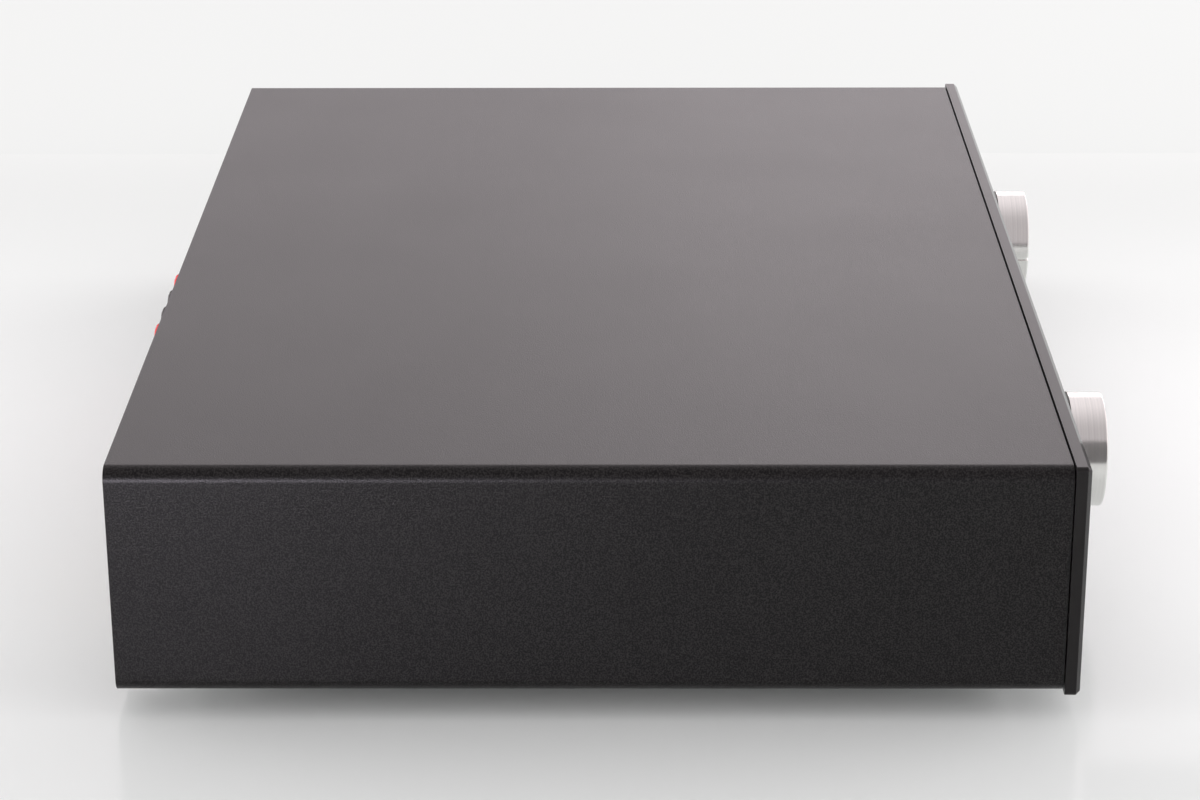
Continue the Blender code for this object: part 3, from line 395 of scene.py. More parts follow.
def outline_in(shape, middle, width, height, corner, steps):
    """Adds the bare edges of a flat rectangle with rounded corners."""
    matrix = Matrix.Translation((*middle, 0)) @ Matrix.Diagonal((width, height, 1, 1))
    corners = bmesh.ops.create_grid(shape, x_segments=1, y_segments=1, size=0.5, matrix=matrix)
    if corner:
        round_off(shape, corners["verts"], "VERTICES", corner, steps)
    bmesh.ops.delete(shape, geom=shape.faces[:], context="FACES_ONLY")


def move_grown(shape, grown, step):
    """Moves the corners that an extrusion has made."""
    corners = [item for item in grown if isinstance(item, bmesh.types.BMVert)]
    bmesh.ops.translate(shape, verts=corners, vec=step)


def fill_plate(shape, thickness):
    """Fills the outlines, holes left open, and gives them a thickness below Z 0."""
    bmesh.ops.triangle_fill(shape, use_beauty=True, edges=shape.edges[:], normal=(0, 0, 1))
    grown = bmesh.ops.extrude_face_region(shape, geom=shape.faces[:])["geom"]
    move_grown(shape, grown, (0, 0, -thickness))
    bmesh.ops.recalc_face_normals(shape, faces=shape.faces)


def sharp_edges(shape, turn=50):
    """Edges that turn by more than some degrees."""
    return [edge for edge in shape.edges if edge.calc_face_angle(0) > math.radians(turn)]


paint, place = start_finish("rear_paint")
grain = place.noise(2400)
cloud = place.noise(25)
end_finish(
    place,
    {
        "Base Color": cloud.mix(grey(0.017), grey(0.022)),
        "Roughness": 0.42 + cloud * 0.06 + grain * 0.08,
        "Normal": grain.bump(0.00001),
    },
)
low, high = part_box("rear_panel")
middle = (low + high) / 2
post_names = ("right_plus", "right_minus", "left_minus", "left_plus")
post_places = [middle_of(f"post_cap_{name}") for name in post_names]
phono_names = [f"input_{pair}_{side}" for pair in (1, 2, 3) for side in ("left", "right")]
phono_places = [middle_of(name) for name in phono_names]
shape = bmesh.new()
outline_in(shape, (0, 0), high.x - low.x, high.z - low.z, REAR_CORNER, 8)
holes = [(spot, SPIGOT_HOLE) for spot in post_places]
holes += [(spot, NECK_HOLE) for spot in phono_places]
holes += [(middle_of(f"rear_screw_{side}"), SCREW_HOLE) for side in ("left", "right")]
for spot, radius in holes:
    matrix = Matrix.Translation((spot.x, middle.z - spot.z, 0))
    bmesh.ops.create_circle(shape, segments=32, radius=radius, matrix=matrix)
inlet_spot = middle_of("mains_inlet")
outline_in(shape, (inlet_spot.x, 0), *INLET_OPENING, INLET_OPENING_CORNER, 3)
for count in range(SLOT_COUNT):
    x = SLOT_MIDDLE + (count - (SLOT_COUNT - 1) / 2) * SLOT_PITCH
    outline_in(shape, (x, 0), SLOT_WIDTH, SLOT_LENGTH, SLOT_END, 6)
fill_plate(shape, high.y - low.y)
round_off(shape, sharp_edges(shape), "EDGES", PUNCHED_EDGE, 1)
shape.transform(Matrix.Translation((0, high.y, middle.z)) @ BACKWARD)
add_piece("rear_sheet", shape, [paint], "case", ["rear_panel"])

SCREW_RADIUS = 0.002
SCREW_HEAD = 0.0038
SCREW_HEAD_HEIGHT = 0.0022
HEX_RADIUS = 0.0015
HEX_DEPTH = 0.0012
SCREW_POINT = 0.0003


def screw_shape(length):
    """A pan-head screw with a hexagon socket, from its point on Z 0 up to the top of its head."""
    seat = length - SCREW_HEAD_HEIGHT
    shape = spun(
        [
            (HEX_RADIUS * 1.25, length, 0),
            (SCREW_HEAD, length, 0.0009),
            (SCREW_HEAD, seat, 0.0002),
            (SCREW_RADIUS, seat, 0),
            (SCREW_RADIUS, SCREW_POINT, 0),
            (SCREW_RADIUS - SCREW_POINT, 0, 0),
            (0, 0, 0),
        ],
        24,
    )
    mouth = [edge for edge in shape.edges if edge.is_boundary]
    matrix = Matrix.Translation((0, 0, length))
    hexagon = bmesh.ops.create_circle(shape, segments=6, radius=HEX_RADIUS, matrix=matrix)["verts"]
    rim = list(dict.fromkeys(edge for corner in hexagon for edge in corner.link_edges))
    bmesh.ops.bridge_loops(shape, edges=mouth + rim)
    floor = bmesh.ops.extrude_edge_only(shape, edges=rim)["geom"]
    move_grown(shape, floor, (0, 0, -HEX_DEPTH))
    edges = [item for item in floor if isinstance(item, bmesh.types.BMEdge)]
    bmesh.ops.contextual_create(shape, geom=[edge for edge in edges if edge.is_boundary])
    bmesh.ops.recalc_face_normals(shape, faces=shape.faces)
    return shape


def add_screw(node, turn):
    """Puts a finer screw where the frame has one."""
    low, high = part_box(node)
    spot = (low + high) / 2
    out = turn.to_3x3() @ Vector((0, 0, 1))
    length = abs(out.dot(high - low))
    shape = screw_shape(length)
    shape.transform(Matrix.Translation(spot - out * length / 2) @ turn)
    add_piece(f"{node}_turned", shape, [blackened], "case", [node])


blackened, place = start_finish("blackened_steel")
oil = place.noise(700)
end_finish(
    place,
    {
        "Base Color": oil.mix(grey(0.02), grey(0.045, -0.05)),
        "Metallic": 0.9,
        "Roughness": 0.3 + oil * 0.15,
        "Normal": oil.bump(0.00001),
    },
)
for side in ("left", "right"):
    add_screw(f"rear_screw_{side}", BACKWARD)

# Mains inlet. A black moulding with three nickel-plated blades, pushed into its opening in the
# rear panel. The two upper corners of its mouth are cut off, so that the plug goes in one way.
MOUTH_CORNER = 0.0042
MOUTH_WIDTH = 0.0244
MOUTH_HEIGHT = 0.0174
INLET_FLANGE = 0.0018
INLET_BODY_WIDTH = 0.0272
INLET_BODY_HEIGHT = 0.0202
INLET_FLOOR = 0.0035
INLET_INSET = 0.001  # first step in from the flange's sides
BLADE_TIP = 0.0006

moulding, place = start_finish("black_moulding")
grain = place.noise(3200)
flow = place.noise(60)
end_finish(
    place,
    {
        "Base Color": flow.mix(grey(0.014), grey(0.02)),
        "Roughness": 0.36 + grain * 0.12,
        "Normal": grain.bump(0.000012),
    },
)
low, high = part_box("mains_inlet")
size = high - low
shape = bmesh.new()
matrix = Matrix.Translation((0, 0, -INLET_FLANGE / 2))
matrix @= Matrix.Diagonal((size.x, size.z, INLET_FLANGE, 1))
bmesh.ops.create_cube(shape, size=1, matrix=matrix)
back = min(shape.faces, key=lambda face: face.calc_center_median().z)
front = max(shape.faces, key=lambda face: face.calc_center_median().z)
for face, width, height, depth in (
    (back, INLET_BODY_WIDTH, INLET_BODY_HEIGHT, INLET_FLANGE - size.y),
    (front, MOUTH_WIDTH, MOUTH_HEIGHT, INLET_FLOOR - size.y),
):
    bmesh.ops.inset_region(shape, faces=[face], thickness=INLET_INSET)
    share = (width / (size.x - 2 * INLET_INSET), height / (size.z - 2 * INLET_INSET), 1)
    bmesh.ops.scale(shape, vec=share, verts=face.verts[:])
    if face is front:
        upper = [corner for corner in face.verts if corner.co.y < 0]
        round_off(shape, upper, "VERTICES", MOUTH_CORNER, 1)
        face = max(shape.faces, key=lambda f: (round(f.calc_center_median().z, 6), len(f.verts)))
    cavity = bmesh.ops.extrude_face_region(shape, geom=[face])["geom"]
    move_grown(shape, cavity, (0, 0, depth))
    bmesh.ops.delete(shape, geom=[face], context="FACES_ONLY")
bmesh.ops.recalc_face_normals(shape, faces=shape.faces)
round_off(shape, sharp_edges(shape, 40), "EDGES", 0.0003, 2)
shape.transform(Matrix.Translation((inlet_spot.x, high.y, inlet_spot.z)) @ BACKWARD)
add_piece("inlet_moulding", shape, [moulding], "case", ["mains_inlet"])

nickel, place = start_finish("nickel_plate")
wipe = place.node("Mapping", {}, {"Vector": place, "Scale": (1, 0.05, 1)}).noise(1800)
end_finish(
    place,
    {
        "Base Color": wipe.mix(grey(0.60, 0.04), grey(0.70, 0.03)),
        "Metallic": 1,
        "Roughness": 0.16 + wipe * 0.12,
        "Normal": wipe.bump(0.000004),
    },
)
for name in ("live", "neutral", "earth"):
    low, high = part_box(f"inlet_pin_{name}")
    shape = bmesh.new()
    matrix = Matrix.Translation((low + high) / 2) @ Matrix.Diagonal((*(high - low), 1))
    bmesh.ops.create_cube(shape, size=1, matrix=matrix)
    tip = [
        edge for edge in shape.edges if min(corner.co.y for corner in edge.verts) > high.y - WELD
    ]
    round_off(shape, tip, "EDGES", BLADE_TIP, 3)
    add_piece(f"blade_{name}", shape, [nickel], "case", [f"inlet_pin_{name}"])

# Speaker posts. Each has a gilt brass stud bolted through the rear panel, a moulded collar, a
# washer, and a fluted cap that screws along the stud to clamp a wire. Red is plus, black minus.
POST_RADIUS = 0.0076
POST_SPIGOT = 0.0048
POST_SPIGOT_LENGTH = 0.0018
POST_STUD = 0.003
POST_BORE = POST_STUD + 0.00025  # of the pieces that go over the stud
STUD_BORE = 0.00205
STUD_BORE_DEPTH = 0.011
POST_NUT_TOP = 0.009
POST_NUT_FOOT = 0.006
FLUTES = 6
FLUTE_DEPTH = 0.0008
FLUTE_SHARE = 0.42
CAP_SKIRT = 0.003  # height of the plain ring under the flutes
CAP_SKIRT_STEP = 0.0004
CAP_CROWN = 0.0022
CAP_STEPS = 144
FLUTE_START = CAP_SKIRT - CAP_SKIRT_STEP / 4
FLUTE_RUN_IN = 0.0005
SOCKET_RADIUS = 0.0023
SOCKET_DEPTH = 0.002
SOCKET_FLARE = 0.0012


def plastic(name, dark, light, roughness):
    """A smooth moulded plastic with faint flow marks."""
    material, place = start_finish(name)
    flow = place.noise(120, 3)
    grain = place.noise(4200)
    end_finish(
        place,
        {
            "Base Color": flow.mix(dark, light),
            "Roughness": roughness + grain * 0.08,
            "Normal": (flow * 0.8 + grain * 0.3).bump(0.00001),
        },
    )
    return material


post_red = plastic("red_plastic", (0.50, 0.010, 0.012, 1), (0.62, 0.018, 0.018, 1), 0.2)
post_black = plastic("black_plastic", grey(0.012), grey(0.018), 0.2)
gilt, place = start_finish("gilt_brass")
tarnish = place.noise(500, 3)
end_finish(
    place,
    {
        "Base Color": tarnish.mix((0.86, 0.60, 0.24, 1), (0.95, 0.70, 0.32, 1)),
        "Metallic": 1,
        "Roughness": 0.14 + tarnish * 0.14,
        "Normal": tarnish.bump(0.000006),
    },
)


def set_post(shape, spot, low):
    """Moves a post's piece, made round Z, to its place behind the rear panel."""
    shape.transform(Matrix.Translation((spot.x, low, spot.z)) @ BACKWARD)


for name, spot in zip(post_names, post_places):
    red = name.endswith("plus")
    shade, slot = (post_red, "post_red") if red else (post_black, "post_black")

    low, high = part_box(f"post_collar_{name}")
    long = high.y - low.y
    shape = spun(
        [
            (POST_BORE, long, 0),
            (POST_RADIUS, long, 0.0009),
            (POST_RADIUS, POST_SPIGOT_LENGTH, 0.0003),
            (POST_SPIGOT, POST_SPIGOT_LENGTH, 0),
            (POST_SPIGOT, 0, 0.0002),
            (POST_BORE, 0, 0),
        ],
        72,
        ring=True,
    )
    set_post(shape, spot, low.y)
    add_piece(f"collar_{name}", shape, [shade], "case", [f"post_collar_{name}"])

    low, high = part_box(f"post_washer_{name}")
    long = high.y - low.y
    washer = (high.x - low.x) / 2
    shape = spun(
        [
            (POST_BORE, long, 0),
            (washer, long, 0.0002),
            (washer, 0, 0.0002),
            (POST_BORE, 0, 0),
        ],
        48,
        ring=True,
    )
    set_post(shape, spot, low.y)
    add_piece(f"ring_{name}", shape, [gilt], f"washer_{name}", [f"post_washer_{name}"])

    low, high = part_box(f"post_cap_{name}")
    long = high.y - low.y
    shape = spun(
        [
            (SOCKET_RADIUS, long - SOCKET_FLARE / 3, 0.0002),
            (SOCKET_RADIUS + SOCKET_FLARE, long, 0.0003),
            (POST_RADIUS, long, 0.0016),
            (POST_RADIUS, long - CAP_CROWN, 0),
            (POST_RADIUS, CAP_SKIRT + CAP_SKIRT_STEP, 0),
            (POST_RADIUS, CAP_SKIRT, 0),
            (POST_RADIUS, CAP_SKIRT - CAP_SKIRT_STEP, 0),
            (POST_RADIUS, 0, 0.0008),
            (POST_BORE, 0, 0),
            (POST_BORE, long - SOCKET_DEPTH, 0),
            (SOCKET_RADIUS, long - SOCKET_DEPTH, 0),
        ],
        CAP_STEPS,
        ring=True,
    )
    for corner in shape.verts:
        out = corner.co.xy.length
        if out > POST_SPIGOT and corner.co.z > FLUTE_START:
            turn = (math.atan2(corner.co.y, corner.co.x) * FLUTES / math.tau) % 1 - 0.5
            hollow = max(0, 1 - (turn * 2 / FLUTE_SHARE) ** 2)
            run_in = min(1, (corner.co.z - FLUTE_START) / FLUTE_RUN_IN)
            share = 1 - FLUTE_DEPTH * hollow * run_in / out * (out / POST_RADIUS) ** 4
            corner.co.x *= share
            corner.co.y *= share
    set_post(shape, spot, low.y)
    add_piece(f"cap_{name}", shape, [shade], f"cap_{name}", [f"post_cap_{name}"], 40)

    low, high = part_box(f"post_stud_{name}")
    long = high.y - low.y
    nut = (high.x - low.x) / 2
    shape = spun(
        [
            (0, long - STUD_BORE_DEPTH, 0),
            (STUD_BORE, long - STUD_BORE_DEPTH, 0),
            (STUD_BORE, long, 0.0003),
            (POST_STUD, long, 0.0004),
            (POST_STUD, POST_NUT_TOP, 0),
            (nut, POST_NUT_TOP, 0.0004),
            (nut, POST_NUT_FOOT, 0.0004),
            (POST_STUD, POST_NUT_FOOT, 0),
            (POST_STUD, 0, 0.0004),
            (0, 0, 0),
        ],
        48,
    )
    set_post(shape, spot, low.y)
    add_piece(f"stud_{name}", shape, [gilt], "case", [f"post_stud_{name}"])

# Phono sockets. Gilt shells with a plastic core, each held through the rear panel by a nut. The
# core is white for the left channel, in the upper row, and red for the right one.
SHELL_RADIUS = 0.00415
SHELL_WALL = 0.0007
SHELL_FLANGE = 0.0055
SHELL_BORE = 0.0017
SHELL_NECK = 0.0036
SHELL_LENGTH = 0.0072
SHELL_FLANGE_THICKNESS = 0.0015
CORE_DEPTH = 0.0068
CORE_INSET = 0.0005
PHONO_NUT = 0.005
PHONO_NUT_TOP = 0.006
PHONO_NUT_FOOT = 0.004

core_white = plastic("white_core", grey(0.74, 0.02), grey(0.82, 0.02), 0.3)
core_red = plastic("red_core", (0.45, 0.012, 0.012, 1), (0.55, 0.02, 0.02, 1), 0.3)
for name, spot in zip(phono_names, phono_places):
    low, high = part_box(name)
    long = high.y - low.y
    flange = long - SHELL_LENGTH
    under = flange - SHELL_FLANGE_THICKNESS
    inside = SHELL_RADIUS - SHELL_WALL
    shape = spun(
        [
            (0, long - CORE_DEPTH, 0),
            (SHELL_BORE, long - CORE_DEPTH, 0),
            (SHELL_BORE, long - CORE_INSET, 0.0002),
            (inside, long - CORE_INSET, 0),
            (inside, long, 0.0001),
            (SHELL_RADIUS, long, 0.0003),
            (SHELL_RADIUS, flange, 0),
            (SHELL_FLANGE, flange, 0.0003),
            (SHELL_FLANGE, under, 0.0001),
            (SHELL_NECK, under, 0),
            (SHELL_NECK, PHONO_NUT_TOP, 0),
            (PHONO_NUT, PHONO_NUT_TOP, 0.0003),
            (PHONO_NUT, PHONO_NUT_FOOT, 0.0003),
            (SHELL_BORE, PHONO_NUT_FOOT, 0),
            (SHELL_BORE, 0, 0),
            (0, 0, 0),
        ],
        48,
    )
    for face in shape.faces:
        centre = face.calc_center_median()
        if centre.xy.length < inside and centre.z > long - CORE_DEPTH + WELD:
            face.material_index = 1
    set_post(shape, spot, low.y)
    core = core_white if name.endswith("left") else core_red
    add_piece(f"socket_{name}", shape, [gilt, core], "case", [name])

# Controls. A potentiometer and a rotary switch in pressed steel cans, each clamped to the tray's
# front wall by the nut on its bush, and the push switch of the power button on a small board.
BUSH = 0.0045
BUSH_BORE = 0.0033
BUSH_BORE_DEPTH = 0.0154
BUSH_LENGTH = 0.0063
NUT = 0.006
NUT_DEPTH = 0.0022  # of its face below the bush's end
NUT_THICKNESS = 0.002


def set_forward(shape, low, high):
    """Puts a shape made round Z into its node's box, with its top towards the front."""
    middle = (low + high) / 2
    shape.transform(Matrix.Translation((middle.x, high.y, middle.z)) @ FORWARD)


for knob, node in (("volume", "volume_potentiometer"), ("selector", "selector_switch")):
    low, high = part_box(node)
    radius = (high.x - low.x) / 2
    long = high.y - low.y
    nut_face = long - NUT_DEPTH
    nut_foot = nut_face - NUT_THICKNESS
    shape = spun(
        [
            (0, long - BUSH_BORE_DEPTH, 0),
            (BUSH_BORE, long - BUSH_BORE_DEPTH, 0),
            (BUSH_BORE, long, 0),
            (BUSH, long, 0.0003),
            (BUSH, nut_face, 0),
            (NUT, nut_face, 0.0003),
            (NUT, nut_foot, 0.0003),
            (BUSH, nut_foot, 0),
            (BUSH, long - BUSH_LENGTH, 0),
            (radius, long - BUSH_LENGTH, 0.0012),
            (radius, 0, 0.0006),
            (0, 0, 0),
        ],
        48,
    )
    set_forward(shape, low, high)
    add_piece(f"{knob}_can", shape, [zinc], "case", [node])
refinish("power_switch", moulding)

# Front panel. A 5 mm aluminium plate, blasted fine, with a chamfer cut smooth round its face, and
# anodised black. It stands clear of the sleeve by a thin shadow gap and is a little larger.
PANEL_CORNER = 0.0015
PANEL_CHAMFER = 0.0014
PANEL_EDGE = 0.00012  # rounding left on every machined edge
KNOB_HOLE = 0.007
BUTTON_GAP = 0.00025
WINDOW_GAP = 0.0002

anodised, place = start_finish("black_anodising")
blast = place.noise(5200, 3)
bloom = place.noise(14, 3)
end_finish(
    place,
    {
        "Base Color": bloom.mix(grey(0.008, 0.03), grey(0.011, 0.03)),
        "Roughness": 0.3 + bloom * 0.05 + blast * 0.05,
        "Specular Tint": grey(0.26),
        "Normal": blast.bump(0.000006),
    },
)
cut_edge, place = start_finish("cut_edge")
bloom = place.noise(14, 3)
trace = place.noise(2400)
end_finish(
    place,
    {
        "Base Color": bloom.mix(grey(0.006, 0.03), grey(0.009, 0.03)),
        "Roughness": 0.08 + bloom * 0.03 + trace * 0.03,
        "Normal": trace.bump(0.000001),
    },
)
low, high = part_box("front_panel")
middle = (low + high) / 2
width = high.x - low.x
height = high.z - low.z
button_low, button_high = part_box("power_button")
button_spot = (button_low + button_high) / 2
button_radius = (button_high.x - button_low.x) / 2
window_low, window_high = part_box("indicator_window")
window_radius = (window_high.x - window_low.x) / 2
shape = bmesh.new()
outline_in(shape, (0, 0), width, height, PANEL_CORNER, 6)
for spot, radius in (
    (middle_of("volume_knob"), KNOB_HOLE),
    (middle_of("selector_knob"), KNOB_HOLE),
    (button_spot, button_radius + BUTTON_GAP),
    (middle_of("indicator_window"), window_radius + WINDOW_GAP),
):
    matrix = Matrix.Translation((spot.x, spot.z - middle.z, 0))
    bmesh.ops.create_circle(shape, segments=64, radius=radius, matrix=matrix)
fill_plate(shape, high.y - low.y)
rim = [
    edge
    for edge in sharp_edges(shape)
    if all(abs(corner.co.z) < WELD for corner in edge.verts)
    and (
        abs(edge.verts[0].co.x) > width / 2 - PANEL_CORNER - WELD
        or abs(edge.verts[0].co.y) > height / 2 - PANEL_CORNER - WELD
    )
]
round_off(shape, rim, "EDGES", PANEL_CHAMFER, 1)
round_off(shape, sharp_edges(shape, 35), "EDGES", PANEL_EDGE, 2)
shape.transform(Matrix.Translation((0, low.y, middle.z)) @ FORWARD)
for face in shape.faces:
    face.normal_update()
    face.material_index = int(-0.9 < face.normal.y < -0.4)  # the slanting cut alone
add_piece("fascia", shape, [anodised, cut_edge], "case", ["front_panel"], 40)

# Knobs, their shafts, the power button and its window. The knobs are turned from solid aluminium
# and left bare, with a pointer groove milled over the rim. Each is pressed on a steel shaft.
KNOB_RADIUS = 0.0199
KNOB_RIM = 0.0122
KNOB_EDGE = 0.0007
KNOB_HUB = 0.011
KNOB_FACE_WALL = 0.004
KNOB_BACK_ROUNDING = 0.0004
SHAFT_ROOM = 0.0003
POINTER_WIDTH = 0.0014
POINTER_LENGTH = 0.008
POINTER_DEPTH = 0.0006
POINTERS = {"volume": math.radians(186), "selector": math.radians(60)}
BUTTON_DISH = 0.0003
BUTTON_DISH_INSET = 0.0012
BUTTON_RIM = 0.0007
WINDOW_CROWN = 0.0004  # how far its face falls towards the edge


def turned_metal(name, spot):
    """Bare aluminium with the fine rings that a lathe leaves, round a part on this axis."""
    material, place = start_finish(name)
    around = {"Vector": place, "Location": (-spot.x, 0, -spot.z)}
    x, y, z = place.node("Mapping", {}, around).axes()
    squared = x * x + z * z
    radius = squared.math("SQRT", squared)
    lathe = place.node("CombineXYZ", {}, {"X": radius, "Y": y})
    fine = lathe.noise(9000, 3)
    coarse = lathe.noise(1500, 2)
    cloud = place.noise(160)
    end_finish(
        place,
        {
            "Base Color": coarse.mix((0.68, 0.685, 0.665, 1), (0.87, 0.86, 0.835, 1)),
            "Metallic": 1,
            "Roughness": 0.13 + coarse * 0.06 + cloud * 0.03,
            "Normal": (fine * 0.7 + coarse * 0.5).bump(0.000012),
        },
    )
    return material


def mill_pointer(shape, top, back):
    """Sinks a groove over the rim and the face of a knob, along its local X."""
    inner = KNOB_RADIUS - POINTER_LENGTH
    for spot, across in (
        ((0, -POINTER_WIDTH / 2, 0), (0, 1, 0)),
        ((0, POINTER_WIDTH / 2, 0), (0, 1, 0)),
        ((inner, 0, 0), (1, 0, 0)),
    ):
        half = [face for face in shape.faces if face.calc_center_median().x > 0]
        around = dict.fromkeys(item for face in half for item in (*face.verts, *face.edges))
        around = [*around, *half]
        cut = {"plane_co": spot, "plane_no": across}
        bmesh.ops.bisect_plane(shape, geom=around, dist=WELD, **cut)
    sunk = []
    for face in shape.faces:
        spot = face.calc_center_median()
        if spot.x > inner and abs(spot.y) < POINTER_WIDTH / 2 and spot.z > back + WELD:
            if spot.x > KNOB_RADIUS - WELD * 40 or spot.z > top - KNOB_EDGE:
                sunk.append(face)
    floor = bmesh.ops.extrude_face_region(shape, geom=sunk)["geom"]
    for item in floor:
        if isinstance(item, bmesh.types.BMVert):
            if item.co.z > top - KNOB_EDGE * 1.1:
                item.co.z -= POINTER_DEPTH
            if item.co.x > KNOB_RADIUS - KNOB_EDGE * 1.1:
                item.co.x -= POINTER_DEPTH
    bmesh.ops.delete(shape, geom=sunk, context="FACES_ONLY")
    bmesh.ops.recalc_face_normals(shape, faces=shape.faces)


for knob in ("volume", "selector"):
    low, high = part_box(f"{knob}_shaft")
    radius = (high.x - low.x) / 2
    long = high.y - low.y
    shape = spun([(0, long, 0), (radius, long, 0.0003), (radius, 0, 0.0003), (0, 0, 0)], 32)
    set_forward(shape, low, high)
    body = f"{knob}_control"
    add_piece(f"{knob}_spindle", shape, [zinc], body, [f"{knob}_shaft"])

    low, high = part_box(f"{knob}_knob")
    top = high.y - low.y
    rim_back = top - KNOB_RIM
    hole = radius + SHAFT_ROOM
    shape = spun(
        [
            (0, top, 0),
            (KNOB_RADIUS, top, KNOB_EDGE),
            (KNOB_RADIUS, rim_back, KNOB_BACK_ROUNDING),
            (KNOB_HUB, rim_back, 0.0002),
            (KNOB_HUB, 0, 0.0003),
            (hole, 0, 0),
            (hole, top - KNOB_FACE_WALL, 0),
            (0, top - KNOB_FACE_WALL, 0),
        ],
        128,
    )
    mill_pointer(shape, top, rim_back + KNOB_BACK_ROUNDING)
    shape.transform(Matrix.Rotation(POINTERS[knob], 4, "Z"))
    set_forward(shape, low, high)
    finish = turned_metal(f"turned_{knob}", (low + high) / 2)
    add_piece(f"{knob}_turning", shape, [finish], body, [f"{knob}_knob"])

long = button_high.y - button_low.y
shape = spun(
    [
        (0, long - BUTTON_DISH, 0),
        (button_radius - BUTTON_DISH_INSET, long - BUTTON_DISH, 0.0006),
        (button_radius - BUTTON_RIM, long, 0.0002),
        (button_radius, long, 0.0003),
        (button_radius, 0, 0.0002),
        (0, 0, 0),
    ],
    64,
)
set_forward(shape, button_low, button_high)
finish = turned_metal("turned_button", button_spot)
add_piece("push_button", shape, [finish], "power_button", ["power_button"])

lens, place = start_finish("dark_lens")
streak = place.noise(900)
end_finish(
    place,
    {
        "Base Color": streak.mix((0.03, 0.004, 0.006, 1), (0.05, 0.006, 0.009, 1)),
        "Roughness": 0.06 + streak * 0.05,
        "Coat Weight": 0.4,
        "Normal": streak.bump(0.000003),
    },
)
long = window_high.y - window_low.y
shape = spun(
    [
        (0, long, 0),
        (window_radius * 0.6, long - WINDOW_CROWN / 5, 0),
        (window_radius, long - WINDOW_CROWN, 0.0002),
        (window_radius, 0, 0),
        (0, 0, 0),
    ],
    48,
)
set_forward(shape, window_low, window_high)
add_piece("window_lens", shape, [lens], "case", ["indicator_window"])

# Sleeve. The top, the sides and two narrow flanges underneath, bent from one steel sheet and
# powder coated black with a fine texture. It goes over the tray and is screwed from below.
SHEET = 0.0016
BEND = 0.0047
BEND_ROOM = 0.003  # flat sheet on each side of a bend, where the rolled surface settles
FLANGE = 0.024
SHEET_EDGE = 0.00012
SHEET_REACH = 0.0002  # nearer to the front panel than in the frame

coat, place = start_finish("powder_coat")
stipple = place.noise(1900, 2)
peel = place.noise(520, 2)
drift = place.noise(18, 3)
# Painted shade: the coat is darker where its stipple is low, in the pits of its texture, with a
# faint random drift of tone.
pit_shade_and_drift = stipple.ramp(0.38, 0.68, 0, 0.9) + drift * 0.1
end_finish(
    place,
    {
        "Base Color": pit_shade_and_drift.mix(grey(0.002, 0), grey(0.018, 0.03)),
        "Roughness": 0.29 + drift * 0.04 + stipple * 0.08,
        "Specular Tint": grey(0.24),
        "Normal": (stipple * 0.7 + peel * 0.15).bump(0.00011),
    },
)
low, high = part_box("cover")
right = high.x
shape = bmesh.new()
turn_in = BEND + BEND_ROOM
outline = [
    (right - FLANGE, low.z),
    (right - turn_in, low.z),
    (right, low.z),
    (right, low.z + turn_in),
    (right, high.z - turn_in),
    (right, high.z),
    (right - turn_in, high.z),
]
outline += [(-x, z) for x, z in reversed(outline)]
sleeve_front = low.y - SHEET_REACH
corners = [shape.verts.new((x, sleeve_front, z)) for x, z in outline]
for pair in zip(corners, corners[1:]):
    shape.edges.new(pair)
bends = [
    corner
    for corner in corners
    if abs(corner.co.x) > right - WELD
    and min(corner.co.z - low.z, high.z - corner.co.z) < WELD
]
round_off(shape, bends, "VERTICES", BEND, 20)
grown = bmesh.ops.extrude_edge_only(shape, edges=shape.edges[:])["geom"]
move_grown(shape, grown, (0, high.y - sleeve_front, 0))
bmesh.ops.recalc_face_normals(shape, faces=shape.faces)
top = max(shape.faces, key=lambda face: face.calc_center_median().z)
if top.normal.z < 0:
    bmesh.ops.reverse_faces(shape, faces=shape.faces)
sleeve = add_piece("sleeve", shape, [coat], "case", ["cover"])
sheet = sleeve.modifiers.new("Sheet", "SOLIDIFY")
sheet.thickness = SHEET
sheet.offset = -1
sheet.use_even_offset = True
edge = sleeve.modifiers.new("Edge", "BEVEL")
edge.width = SHEET_EDGE
edge.segments = 3
edge.limit_method = "ANGLE"
edge.angle_limit = math.radians(50)
sleeve.modifiers.move(0, 2)  # the even normals come last

for corner in ("left_front", "left_rear", "right_front", "right_rear"):
    add_screw(f"cover_screw_{corner}", DOWNWARD)

# Feet. Four round mouldings of black rubber that keep the sleeve clear of the shelf. Each has a
# recess underneath for the head of the one screw that holds it up to the tray.
FOOT_RADIUS = 0.016
FOOT_TAPER = 0.0004
FOOT_RECESS = 0.0065
FOOT_RECESS_DEPTH = 0.0038
FOOT_SCREW_ROOM = 0.0003

rubber, place = start_finish("rubber")
bloom = place.noise(220, 3)
pore = place.noise(3000)
end_finish(
    place,
    {
        "Base Color": bloom.mix(grey(0.014), grey(0.024)),
        "Roughness": 0.62 + bloom * 0.15,
        "Normal": (pore * 0.6 + bloom * 0.4).bump(0.00003),
    },
)
for corner in ("left_front", "left_rear", "right_front", "right_rear"):
    low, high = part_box(f"foot_{corner}")
    tall = high.z - low.z
    hole = SCREW_RADIUS + FOOT_SCREW_ROOM
    shape = spun(
        [
            (hole, tall, 0),
            (FOOT_RADIUS, tall, 0.0008),
            (FOOT_RADIUS - FOOT_TAPER, 0, 0.0014),
            (FOOT_RECESS, 0, 0.0006),
            (FOOT_RECESS, FOOT_RECESS_DEPTH, 0),
            (hole, FOOT_RECESS_DEPTH, 0),
        ],
        72,
        ring=True,
    )
    stand(shape, low, high)
    add_piece(f"moulded_{corner}", shape, [rubber], "case", [f"foot_{corner}"])
    add_screw(f"foot_screw_{corner}", DOWNWARD)

